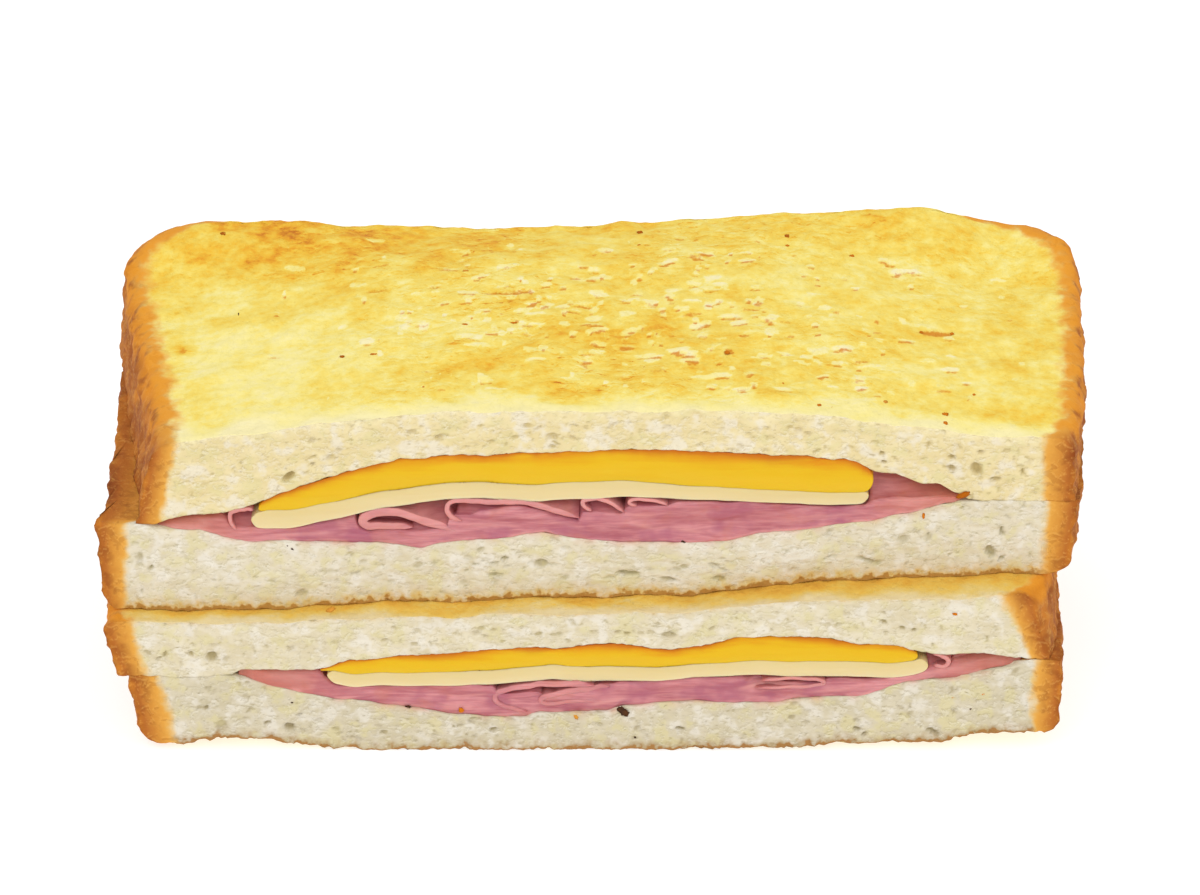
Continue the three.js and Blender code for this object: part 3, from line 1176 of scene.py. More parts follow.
@dataclass(frozen=True)
class BurntBits(Finish):
    """Pepper and burnt crumbs."""

    def colour(self, paint: Paint) -> tuple[Socket, Socket]:
        """Colours each bit by its tone.

        Args:
            paint: The material's nodes.

        Returns:
            The colour and the height.
        """
        fine = paint.mottle(0.4, 1.5)
        tones = [
            (Tone.BLACK.value, srgb(44, 36, 34)),
            (Tone.BROWN.value, srgb(186, 100, 18)),
            (Tone.RUST.value, srgb(222, 126, 22)),
            (Tone.ORANGE.value, srgb(230, 160, 62)),
        ]
        return paint.tint(paint.ramp(paint.read("tone"), tones), fine, srgb(170, 100, 40), 0.3), fine


@dataclass(frozen=True)
class Wall:
    """A side of a slice: where its crust stands at the cut and behind it, at the joint and at the toast."""

    cut: tuple[float, float]
    back: tuple[float, float]
    inward: float
    corner: float
    slow: bool = False
    reach: float = PINCH_REACH

    def at(self, depth: Array, inset: Array, t: Array, v: Array) -> tuple[Array, Array, Array]:
        """Follows the side back from the cut and round the back corner.

        Args:
            depth: Depth of the slice.
            inset: What the rounded rim takes off.
            t: Share from the joint of the slices to the toasted face.
            v: Share of the side's length.

        Returns:
            x, y and how far the corner has turned, in radians.
        """
        straight = depth - self.corner
        run = v * (straight + self.corner * math.pi / 2.0)
        spread = smooth(0.0, 0.9 * DEPTH, run) if self.slow else 1.0 - np.exp(-run / self.reach)
        edge = mix(mix(*self.cut, t), mix(*self.back, t), spread) + self.inward * inset
        turn = np.clip((run - straight) / self.corner, 0.0, math.pi / 2.0)
        x = edge + self.inward * self.corner * (1.0 - np.cos(turn))
        y = np.minimum(run, straight) + self.corner * np.sin(turn)
        return x, y, turn


@dataclass(frozen=True)
class Tan:
    """A patch of a toasted face that is more or less brown than the rest."""

    x: float
    y: float
    wide: float
    deep: float
    change: float


@dataclass
class BreadSlice:
    """A slice of toasted bread between two of the stack's surfaces."""

    CRUMBS = Grain((1.4, 1.4, 1.0), 3)  # along the joints
    JAGGED = Grain(5.0, 4)  # where the toasting starts
    CLOUDS = Grain((19.0, 9.0, 9.0), 2, 0.07)  # in the toasting
    FLAKING = Grain((0.9, 0.9, 1.1), 4)  # of the crust
    ROUGH_CRUST = Grain(2.6, 4, 0.3)
    SAW_MARKS = (Grain((9.0, 9.0, 3.0), 2, 0.16), Grain((0.8, 0.8, 0.5), 3, 0.12))
    TOAST_BUMPS = Grain((1.6, 1.1, 1.0), 3, 0.1)

    half: Half
    toast_up: bool
    finish: ToastedBread
    left: Wall
    right: Wall
    seed: int
    holes: Sequence[Dent]
    toasting: float
    pale_edge: float
    scorching: tuple[float, float]  # strength and reach of the browned edge at the cut
    # Crust at the cut: left and right, each at the joint and at the toast
    crust_widths: tuple[tuple[float, float], tuple[float, float]]
    # Crust on the toasted face: left, right and back
    top_margins: tuple[float, float, float] = (4.2, 2.6, 1.4)
    pale_share: float = 0.3
    tans: Sequence[Tan] = ()
    tears: Sequence[Dent] = ()
    flakes: int = 0
    columns: int = 400
    levels: int = 30
    rim_levels: int = 9
    pores: int = 260
    noise: Lattice = field(init=False)

    def __post_init__(self) -> None:
        """Draws the slice's own unevenness."""
        self.noise = Lattice(self.seed)

    def lattice(self) -> Shell:
        """Lays out the slice's points: close at the cut and round the rim."""
        body = np.linspace(0.0, 1.0 - RIM_SHARE, self.levels + 1)[:-1]
        rim = 1.0 - RIM_SHARE + RIM_SHARE * np.sin(np.linspace(0.0, math.pi / 2.0, self.rim_levels + 1))
        rise = np.concatenate([body, rim])
        across = np.linspace(0.0, 1.0, self.columns + 1)
        rows = graded(DEPTH, 0.2, 1.15, 0.6)
        if self.toast_up:
            return Shell([across, rows, rise], (Side.UNDER,))
        return Shell([across, rows, (1.0 - rise)[::-1]], (Side.OVER, Side.UNDER))

    def heights(self, stack: Stack, x: Array, y: Array) -> tuple[Array, Array]:
        """Finds the slice's two faces.

        Args:
            stack: The shared surfaces.
            x: Places along the cut.
            y: Depths behind the cut face.

        Returns:
            The heights of the lower and the upper face.
        """
        teeth = np.abs(self.noise.layered(flat(x, y, 5.0), self.CRUMBS))
        near_cut = np.exp(-y / 2.0)
        floor, roof = stack.faces(self.half, x, y)
        if self.toast_up:
            over = stack.at("top" if self.half is Half.UPPER else "middle", x, y)
            return roof + 0.12 * teeth * near_cut * smooth(0.3, 1.0, roof - floor), over
        if self.half is Half.LOWER:
            return rounded(UNDERSIDE, x) + (0.08 + 0.3 * near_cut) * teeth, floor
        under = stack.at("middle", x, y + cut_face(Half.UPPER, x)) + HAIR + 0.15 * teeth * near_cut
        return under, floor

    def crag(self, x: Array, y: Array, z: Array) -> Array:
        """Broad relief of the crust."""
        waves = np.sin(0.9 * x + 1.7 * z) + np.sin(1.3 * y - 0.8 * z + 2.0) + np.sin(0.37 * (x + y) + 2.1 * z)
        return CRAG * waves / 3.0

    def random_holes(self, x: Array, z: Array) -> list[Dent]:
        """Draws the crumb's own pores over the cut face.

        Args:
            x: The face's points along the cut.
            z: Their heights.

        Returns:
            The pores.
        """
        draw = np.random.default_rng(self.seed)
        holes = []
        for _ in range(self.pores):
            i = draw.integers(4, x.shape[0] - 4)
            k = draw.integers(1, x.shape[1] - 1)
            length = 0.22 + 0.4 * draw.random() ** 2.5
            height = max(length * draw.uniform(0.3, 0.65), 0.16)
            lean = 18.0 + 38.0 * smooth(30.0, 60.0, abs(x[i, k]))
            dark = draw.uniform(0.2, 0.75)
            holes.append(Dent(x[i, k], z[i, k], length, height, draw.normal(0.0, lean), length * 0.45, dark))
        return holes

    def toast_over(self, x: Array, y: Array) -> Array:
        """How brown the toasted face is.

        Args:
            x: Places along the cut.
            y: Depths behind the cut face.

        Returns:
            A value from 0 for plain crumb to 1 for burnt.
        """
        points = flat(x, y)
        jagged = self.noise.layered(points, self.JAGGED)
        front = smooth(0.0, self.pale_edge, y + 0.25 * self.pale_edge * jagged)
        level = self.toasting * mix(self.pale_share, 1.0, front)
        level = level + (self.noise.layered(points + 31.0, self.CLOUDS) + 0.06 * jagged) * front
        for tan in self.tans:
            level = level + tan.change * hump(x, tan.x, tan.wide) * hump(y, tan.y, tan.deep)
        return np.clip(level, *TOAST_LIMITS)

    def random_flakes(self) -> tuple[list[Dent], list[Dent]]:
        """Draws the flakes that the heat has lifted from the toasted face.

        Returns:
            The brown lines in front of some flakes, and the pale flakes.
        """
        draw = np.random.default_rng(self.seed + 50)
        lines, flakes = [], []
        while len(flakes) < self.flakes:
            x, y = draw.normal(8.0, 26.0), draw.normal(25.0, 14.0)
            length = 0.55 + 1.6 * draw.random() ** 2
            tilt = draw.normal(0.0, 12.0)
            deep, dark, lift = draw.uniform(0.45, 1.0), draw.uniform(0.1, 0.85), draw.uniform(0.25, 1.0)
            if not all(low < at < high for at, (low, high) in zip((x, y), FLAKE_FIELD)):
                continue
            flakes.append(Dent(x, y, length, deep, tilt, 0.06, lift))
            if dark > 0.4:
                lines.append(Dent(x, y - deep, length * 0.8, 0.42, tilt, 0.05, dark))
        return lines, flakes

    def crust_measure(
        self, x: Array, y: Array, t: Array, sides: tuple[Array, Array, Array], inset: Array
    ) -> Array:
        """How far inside the crust points are, as millimetres of a crust of the usual width.

        Args:
            x: Places along the cut.
            y: Depths behind the cut face.
            t: Shares from the joint to the toasted face.
            sides: Where the left, the right and the back wall stand.
            inset: What the rounded rim takes off.

        Returns:
            The measure, which is 0 on the wall.
        """
        at_top = smooth(0.9, 1.0, t) * smooth(0.0, 3.0, y)
        at_joint = (t == 0.0) * smooth(0.0, 0.6, y)
        away = (x - sides[0], sides[1] - x, sides[2] - y)
        cut_widths = (mix(*self.crust_widths[0], t), mix(*self.crust_widths[1], t), BACK_CRUST)
        shares = [
            (gap + inset) / mix(mix(width, JOINT_CRUST, at_joint), margin, at_top)
            for gap, width, margin in zip(away, cut_widths, self.top_margins)
        ]
        least = np.minimum(np.minimum(shares[0], shares[1]), shares[2])
        return CRUST * mix(least, 0.42 + 0.58 * least, at_top)

    def build(self, stack: Stack, effects: Effects) -> bpy.types.Object:
        """Makes the slice.

        Args:
            stack: The shared surfaces.
            effects: The shared groups for its finish.

        Returns:
            The object.
        """
        shell = self.lattice()
        u, v, w = shell.shares.T
        t = w if self.toast_up else 1.0 - w
        rim_place = np.clip((t - 1.0 + RIM_SHARE) / RIM_SHARE, 0.0, 1.0)
        inset = RIM * (1.0 - np.sqrt(1.0 - rim_place**2))
        depth = DEPTH - BACK_LEAN * t - inset
        left_x, left_y, left_turn = self.left.at(depth, inset, t, v)
        right_x, right_y, right_turn = self.right.at(depth, inset, t, v)
        x = mix(left_x, right_x, u)
        y = mix(left_y, right_y, u)
        under, over = self.heights(stack, x, y)
        z = mix(under, over, w)
        crust = self.crust_measure(x, y, t, (left_x, right_x, depth), inset)
        thick = over - under
        points = flat(x, y, z)

        on_left, on_right, on_back = u == 0.0, u == 1.0, v == 1.0
        out_x = np.where(on_left, -np.cos(left_turn), np.where(on_right, np.cos(right_turn), 0.0))
        out_y = np.where(on_left, np.sin(left_turn), np.where(on_right, np.sin(right_turn), 0.0))
        out_x = np.where(on_back, 0.0, out_x)
        out_y = np.where(on_back, 1.0, out_y)
        wall = (on_left | on_right | on_back).astype(float)
        flake = wall * smooth(0.3, 0.7, self.noise.layered(points + 5.0, self.FLAKING))
        rough = self.noise.layered(points, self.ROUGH_CRUST) + 0.16 * flake
        push = self.crag(x, y, SLICE * w) + rough * (1.0 - 0.6 * rim_place)

        on_cut = (v == 0.0).astype(float)
        saw = sum(self.noise.layered(points, grain) for grain in self.SAW_MARKS)
        pore_shade, stain, lifted, sunk = (np.zeros(len(points)) for _ in range(4))
        front = shell.side(Side.FRONT)
        face_x, face_z = x[front], z[front]
        deep, dark = press([*self.holes, *self.random_holes(face_x, face_z)], face_x, face_z)
        clear_of_crust = smooth(2.5, 4.5, crust[front])
        # Painted shade in the holes pressed into the crumb
        pore_shade[front] = dark * clear_of_crust
        dented = on_cut * saw
        dented[front] += deep * clear_of_crust

        from_toast = (1.0 - t) * thick
        scorch = on_cut * self.scorching[0] * np.exp(-from_toast / self.scorching[1])
        toast = np.where(y > 0.0, self.toast_over(x, y), 0.1 * self.toast_up)
        toast = toast * np.where(t == 1.0, 1.0, wall * (1.0 - on_cut) * smooth(0.62, 1.0, t))
        if self.toast_up:
            top = shell.side(Side.OVER)
            lines, flakes = self.random_flakes()
            deep, dark = press([*self.tears, *lines], x[top], y[top])
            high, pale = press(flakes, x[top], y[top])
            sunk[top] = deep - high
            stain[top] = dark
            lifted[top] = pale
            bumps = self.noise.layered(points + 3.0, self.TOAST_BUMPS)
            sunk[top] += bumps[top] * smooth(0.0, 1.0, y[top])

        torn = (t == 1.0) * smooth(0.5, 4.0, y) * (0.4 + 0.6 * smooth(-0.4, 0.4, self.noise.at(points, 12.0)))
        torn = torn * mix(0.4, 1.0, hump(x, 5.0, 40.0))
        blush = np.exp(-t * thick / 0.4) * smooth(1.0, 2.4, stack.room(self.half, x, y)) * (not self.toast_up)
        half_y = cut_face(self.half, x)
        moved = flat(x + out_x * push, y + half_y + out_y * push + dented, z - sunk)
        shades = {
            "crust": crust,
            "toast": toast,
            "scorch": scorch,
            "pore_shade": pore_shade,
            "stain": stain,
            "flake": flake * 0.2,
            "torn": torn,
            "lifted": lifted,
            "blush": np.clip(blush * (0.4 + 0.9 * self.noise.at(points, 1.6)), 0.0, 1.0),
        }
        finish = self.finish.build(effects)
        half, which = self.half.value, "top" if self.toast_up else "bottom"
        name, node = f"{half}_{which}_slice", f"{half}_bread_{which}"
        return make_piece(name, moved, shell.faces, shades, finish, [node], stack)


@dataclass
class CheesePair:
    """A thin pale slice of cheese with a thicker orange one on it."""

    WOBBLE = Grain((1.0, 9.0, 5.0), 2, 0.25)  # of its ends
    BULGES = Grain((13.0, 13.0, 2.5), 3, 0.2)  # of its cut face
    RAGGED = Grain(4.0, 4, 0.9)  # deeper colour along its top edge

    half: Half
    pale: Sequence[float]  # thickness of the pale slice at the stations along the cut
    pale_ends: tuple[float, float]
    orange_ends: tuple[float, float]
    seed: int

    def heights(self, stack: Stack, x: Array, y: Array) -> tuple[Array, Array, Array]:
        """Finds the surfaces of the two slices.

        Args:
            stack: The shared surfaces.
            x: Places along the cut.
            y: Depths behind the cut face.

        Returns:
            The underside, the joint of the two slices and the top.
        """
        low = stack.at(f"{self.half.value}_pile", x, y) + HAIR
        high = stack.faces(self.half, x, y)[1] - HAIR
        even = stack.even(f"{self.half.value}_roof", x, y) - stack.even(f"{self.half.value}_pile", x, y)
        pale = through(self.pale, (x - FIRST_STATION) / STATION)
        return low, low + np.minimum(pale, PALE_SHARE * np.maximum(even - 0.3, 0.3)), high

    def build(
        self, stack: Stack, orange: bpy.types.Material, pale: bpy.types.Material
    ) -> list[bpy.types.Object]:
        """Makes both slices.

        Args:
            stack: The shared surfaces.
            orange: Finish of the upper slice.
            pale: Finish of the lower slice.

        Returns:
            The two objects.
        """
        return [
            self._slice("pale", self.pale_ends, stack, pale),
            self._slice("orange", self.orange_ends, stack, orange),
        ]

    def _slice(
        self, kind: str, ends: tuple[float, float], stack: Stack, material: bpy.types.Material
    ) -> bpy.types.Object:
        """Makes one slice.

        Args:
            kind: Which slice.
            ends: Where it starts and ends along the cut.
            stack: The shared surfaces.
            material: Its finish.

        Returns:
            The object.
        """
        noise = Lattice(self.seed)
        levels = (1.0 - np.cos(np.linspace(0.0, math.pi, 15))) / 2.0
        shell = Shell([np.linspace(0.0, 1.0, 301), graded(CHEESE_DEPTH, 0.15, 1.5, 5.0), levels])
        u, v, w = shell.shares.T
        round_edge = np.sin(math.pi * w) ** 0.5 - 1.0
        wobble = noise.layered(flat(0.0, v * CHEESE_DEPTH, 7.0 * w), self.WOBBLE)
        x = mix(ends[0] - round_edge + wobble, ends[1] + 0.9 * round_edge + wobble, u)
        y = v * (CHEESE_DEPTH + 0.6 * round_edge)
        low, joint, high = self.heights(stack, x, y)
        under, over = (low, joint) if kind == "pale" else (joint + HAIR, high)
        z = mix(under, over, w)
        points = flat(x, y, z)
        on_cut = v == 0.0
        bulge = noise.layered(points, self.BULGES) - 0.13 * round_edge
        y = y + np.where(on_cut, bulge, 0.0)
        from_top = (1.0 - w) * (over - under)
        from_bottom = w * (over - under)
        ragged = np.clip(1.0 + noise.layered(flat(x, 0.0), self.RAGGED), 0.25, 2.0)
        reach = (EDGE_WIDTH + EDGE_GROWTH * (over - under)) * ragged
        # Deeper colour along the top edge: the cheese's own edge with painted shade under the bread
        near_bread = np.exp(-((from_top / reach) ** 1.7))
        edge = near_bread if kind == "orange" else 0.5 * np.exp(-((from_bottom / 0.25) ** 2))
        moved = flat(x, y + cut_face(self.half, x), z)
        node = f"{self.half.value}_cheese_{kind}"
        shades = {"edge": np.clip(edge, 0.0, 1.0), "level": w**1.4}
        return make_piece(f"{node}_slice", moved, shell.faces, shades, material, [node], stack)


@dataclass(frozen=True)
class Fold:
    """A slice of ham folded over: its edge at the cut, from under the fold, round it and over it."""

    line: Sequence[tuple[float, float]]
    sheet: tuple[float, float, float]  # thickness at the start, at the fold and at the end
    rising: float = 0.0  # share of the line, at its end, that rises to the cheese behind the cut
    rim: float = 0.7

    @property
    def opens_right(self) -> bool:
        """Whether the fold's round side is its left one."""
        return self.line[len(self.line) // 2][0] < (self.line[0][0] + self.line[-1][0]) / 2.0

    def rise_at(self, share: Array) -> Array:
        """How much of the way to the cheese the slice rises behind the cut, at shares of its line."""
        return smooth(1.0 - self.rising, 1.0, share) if self.rising else np.zeros_like(share)

    def upper_leg(self, steps: int = 60) -> tuple[Array, Array, Array]:
        """Draws the part of the line over the fold's opening.

        Args:
            steps: How many points the whole line gets.

        Returns:
            Places along the cut in rising order, their heights and how much they rise behind the cut.
        """
        shares = np.linspace(0.0, 1.0, steps)
        line_x, line_z = np.array(self.line).T
        x, z = (through(line, shares * (len(self.line) - 1.0)) for line in (line_x, line_z))
        tip = int(np.argmin(x) if self.opens_right else np.argmax(x))
        order = tip + np.argsort(x[tip:])
        return x[order], z[order], self.rise_at(shares)[order]


@dataclass(frozen=True)
class Stroke:
    """A streak across the ham at the cut: its two ends, half width and strength, dark below 0. Light streaks
    paint pale streaks of the meat along with highlights and light; dark ones paint darker streaks along with
    shade.
    """

    start: tuple[float, float]
    end: tuple[float, float]
    width: float
    strength: float

    def over(self, x: Array, z: Array) -> Array:
        """How strongly the streak shows at places of the cut.

        Args:
            x: Places along the cut.
            z: Their heights.

        Returns:
            A value from 0 to 1.
        """
        run_x, run_z = self.end[0] - self.start[0], self.end[1] - self.start[1]
        along = ((x - self.start[0]) * run_x + (z - self.start[1]) * run_z) / (run_x**2 + run_z**2)
        near = np.clip(along, 0.0, 1.0)
        away = np.hypot(x - self.start[0] - near * run_x, z - self.start[1] - near * run_z)
        taper = np.clip(1.0 - np.abs(2.0 * near - 1.0) ** 3, 0.15, 1.0)
        return taper * np.exp(-((away / self.width) ** 2))


@dataclass
class HamPile:
    """The ham of a half: flat slices on the bread, and folded ones on them."""

    WAVES = Grain((13.0, 1.0, 1.8), 2, 0.3)  # of the cut face
    RIPPLES = Grain((3.5, 1.0, 0.8), 3, 0.1)  # on them
    FRINGE = Grain(3.0, 3)  # pale lower edge
    SLACK = Grain((3.0, 6.0, 3.0), 2, 0.06)  # of a fold
    EDGE_WAVE = Grain((1.1, 1.0, 1.0), 3, 0.14)  # of a fold's edge at the cut

    half: Half
    bed: tuple[float, float]
    bed_line: Sequence[tuple[float, float]]  # top of the flat slices at the cut
    covered: tuple[float, float]  # where cheese lies on the ham
    folds: dict[str, Fold]
    hollows: Sequence[tuple[float, float, float]]  # place, reach and depth of hollows in the flat slices
    # Streaks at the cut: the meat's own streaks with painted highlights, light and shade
    strokes: Sequence[Stroke]
    seed: int
    columns: int = 420
    levels: int = 24
    slope: float = 4.5  # behind the cut the pile reaches its full height after this

    def full(self, stack: Stack, x: Value) -> Value:
        """Thickness of the whole pile behind the cut, up to the cheese or the bread."""
        half = self.half.value
        covered = (x > self.covered[0]) & (x < self.covered[1])
        over = np.where(covered, stack.even(f"{half}_pile", x, 0.0), stack.even(f"{half}_roof", x, 0.0))
        return np.maximum(over - stack.even(f"{half}_floor", x, 0.0) - CLEARANCE, HAM_LEAST)

    def thickness(self, stack: Stack, x: Array, depth: Array) -> Array:
        """Thickness of the flat slices, which stay under the folds and fill the rest of the pile.

        Args:
            stack: The shared surfaces.
            x: Places along the cut.
            depth: Depths behind the cut.

        Returns:
            The thickness.
        """
        floor = stack.even(f"{self.half.value}_floor", x, 0.0)
        places, heights = np.array(self.bed_line).T
        at_cut = np.interp(x, places, heights) - floor
        behind = smooth(0.0, self.slope, depth)
        full = self.full(stack, x)
        lift = mix(at_cut, full, behind)
        for fold in self.folds.values():
            leg_x, leg_z, rising = fold.upper_leg()
            leg = np.interp(x, leg_x, leg_z) - floor
            leg = mix(leg, np.maximum(leg, full), behind * np.interp(x, leg_x, rising))
            inside = (x > leg_x[0]) & (x < leg_x[-1])
            ceiling = np.where(inside, leg - fold.sheet[1] / 2.0 - LEG_GAP, np.inf)
            lift = np.minimum(lift, np.maximum(ceiling, at_cut))
        return np.clip(np.minimum(lift, full), HAM_THINNEST, None)

    def lay(self, stack: Stack, x: Array, y: Array, lift: Array) -> Array:
        """Lays points of the ham on the bread.

        Args:
            stack: The shared surfaces.
            x: Places along the cut.
            y: Depths behind the cut face.
            lift: Heights over the bread at the cut.

        Returns:
            The points.
        """
        swayed = x + SWAY * np.sin(y / SWAY_LENGTH)
        open_share = 1.0 - smooth(FILLING_FULL, FILLING_GONE, y)
        z = stack.faces(self.half, swayed, y)[0] + HAIR + lift * open_share
        return flat(swayed, y + cut_face(self.half, swayed), z)

    def build(self, stack: Stack, material: bpy.types.Material) -> list[bpy.types.Object]:
        """Makes the flat slices and the folded ones.

        Args:
            stack: The shared surfaces.
            material: Their finish.

        Returns:
            The objects.
        """
        made = [self._bed(stack, material)]
        for number, (name, fold) in enumerate(self.folds.items(), start=1):
            made.append(self._fold(name, fold, self.seed + number, stack, material))
        return made

    def _warm(self, x: Array) -> Array:
        """How warm in colour the ham is, which grows towards its two ends."""
        return 1.0 - smooth(2.0, 17.0, x - self.bed[0]) * smooth(2.0, 17.0, self.bed[1] - x)

    def _bed(self, stack: Stack, material: bpy.types.Material) -> bpy.types.Object:
        """Makes the flat slices, which show as a soft mass at the cut.

        Args:
            stack: The shared surfaces.
            material: Their finish.

        Returns:
            The object.
        """
        noise = Lattice(self.seed)
        across = np.linspace(0.0, 1.0, self.columns + 1)
        rows = graded(HAM_DEPTH, 0.2, 1.3, 6.0)
        shell = Shell([across, rows, np.linspace(0.0, 1.0, self.levels + 1)], [Side.UNDER, Side.BACK], 6)
        u, v, w = shell.shares.T
        x = mix(*self.bed, u)
        depth = v * HAM_DEPTH
        lift = w * self.thickness(stack, x, depth)
        slow = noise.layered(flat(x, 0.0, lift), self.WAVES)
        quick = noise.layered(flat(x, 3.0, lift), self.RIPPLES)
        ends = 1.0 - smooth(0.0, 2.5, x - self.bed[0]) * smooth(0.0, 2.5, self.bed[1] - x)
        recess = 0.15 + slow + quick + 0.8 * ends
        for middle, reach, deep in self.hollows:
            recess = recess + deep * hump(x, middle, reach) * w**1.6
        recess = recess + 0.3 * smooth(0.8, 1.0, w) ** 2
        fade = np.exp(-depth / 1.2)
        points = self.lay(stack, x, depth, lift)
        points[:, 1] += np.clip(recess, -0.3, 4.0) * fade
        on_cut = v == 0.0
        z = points[:, 2]
        # Light strokes go into the pale rim as pale streaks and painted highlights and light; dark ones into
        # the deep red as darker streaks and painted shade
        light, dark = np.zeros(len(x)), np.zeros(len(x))
        for stroke in self.strokes:
            shown = light if stroke.strength > 0.0 else dark
            np.maximum(shown, abs(stroke.strength) * stroke.over(x, z), out=shown)
        fraying = smooth(-0.4, 0.5, noise.layered(flat(x, 7.0), self.FRINGE))
        fringe = 0.75 * np.exp(-((lift / 0.35) ** 2)) * fraying
        covered = ((x > self.covered[0]) & (x < self.covered[1])).astype(float)
        # Painted shade behind the cut, darker where the cheese lies over the ham
        hidden = 0.4 * (1.0 - fade) * (0.35 + 0.65 * covered)
        shades = {
            "fold": np.where(on_cut, dark, np.maximum(hidden, dark * fade)),
            "rim": np.where(on_cut, np.maximum(light, fringe), 0.0),
            "warm": self._warm(x),
        }
        node = f"{self.half.value}_ham_bed"
        return make_piece(f"{node}_slices", points, shell.faces, shades, material, [node], stack)

    def _fold(
        self, name: str, fold: Fold, seed: int, stack: Stack, material: bpy.types.Material
    ) -> bpy.types.Object:
        """Makes one folded slice, which runs back from the cut.

        Args:
            name: The fold's name.
            fold: Its sizes.
            seed: Seed of its unevenness.
            stack: The shared surfaces.
            material: Its finish.

        Returns:
            The object.
        """
        noise = Lattice(seed)
        line_x, line_z = np.array(fold.line).T
        last = len(line_x) - 1.0
        across = np.linspace(0.0, 1.0, 121)
        shell = Shell([across, graded(HAM_DEPTH, 0.12, 1.35, 5.0), np.linspace(0.0, 1.0, 9)])
        u, v, w = shell.shares.T
        step = 2e-3
        x, z = through(line_x, u * last), through(line_z, u * last)
        after, before = np.clip(u + step, 0.0, 1.0) * last, np.clip(u - step, 0.0, 1.0) * last
        run_x, run_z = (through(line, after) - through(line, before) for line in (line_x, line_z))
        run = np.hypot(run_x, run_z)
        depth = v * HAM_DEPTH
        thin = through(fold.sheet, u * 2.0) * (1.0 - 0.85 * smooth(0.85, 1.0, np.abs(2.0 * u - 1.0)))
        off = (w - 0.5) * thin
        floor = stack.even(f"{self.half.value}_floor", x, 0.0)
        behind = smooth(0.0, self.slope, depth)
        rising = fold.rise_at(u)
        raised = np.maximum(self.full(stack, x) - fold.sheet[2] / 2.0, z - floor)
        lift = mix(z - floor, raised, rising * behind)
        lift = lift + noise.layered(flat(x, depth, z), self.SLACK)
        points = self.lay(stack, x - run_z / run * off, depth, lift + run_x / run * off)
        round_rim = 0.16 * (1.0 - np.sin(math.pi * w))
        edge_wave = noise.layered(flat(6.0 * u, 0.0, 0.0), self.EDGE_WAVE)
        fade = np.exp(-depth / 1.0)
        points[:, 1] += (round_rim + edge_wave) * fade
        on_cut = v == 0.0
        inside = 1.0 - w if fold.opens_right else w
        fading = 1.0 - 0.8 * smooth(0.75, 1.0, np.abs(2.0 * u - 1.0))
        # The deep red behind the cut is painted shade, most on the slice's inner side
        shades = {
            "fold": np.where(on_cut, 0.0, (1.0 - fade) * (0.15 + 0.3 * inside)),
            "rim": np.where(on_cut, fold.rim * fading * (0.75 + 0.25 * np.abs(2.0 * w - 1.0)), 0.4 * fade),
            "warm": self._warm(x) * 0.7 + 0.1,
        }
        node = f"{self.half.value}_ham_{name}"
        return make_piece(f"{node}_slice", points, shell.faces, shades, material, [node], stack)


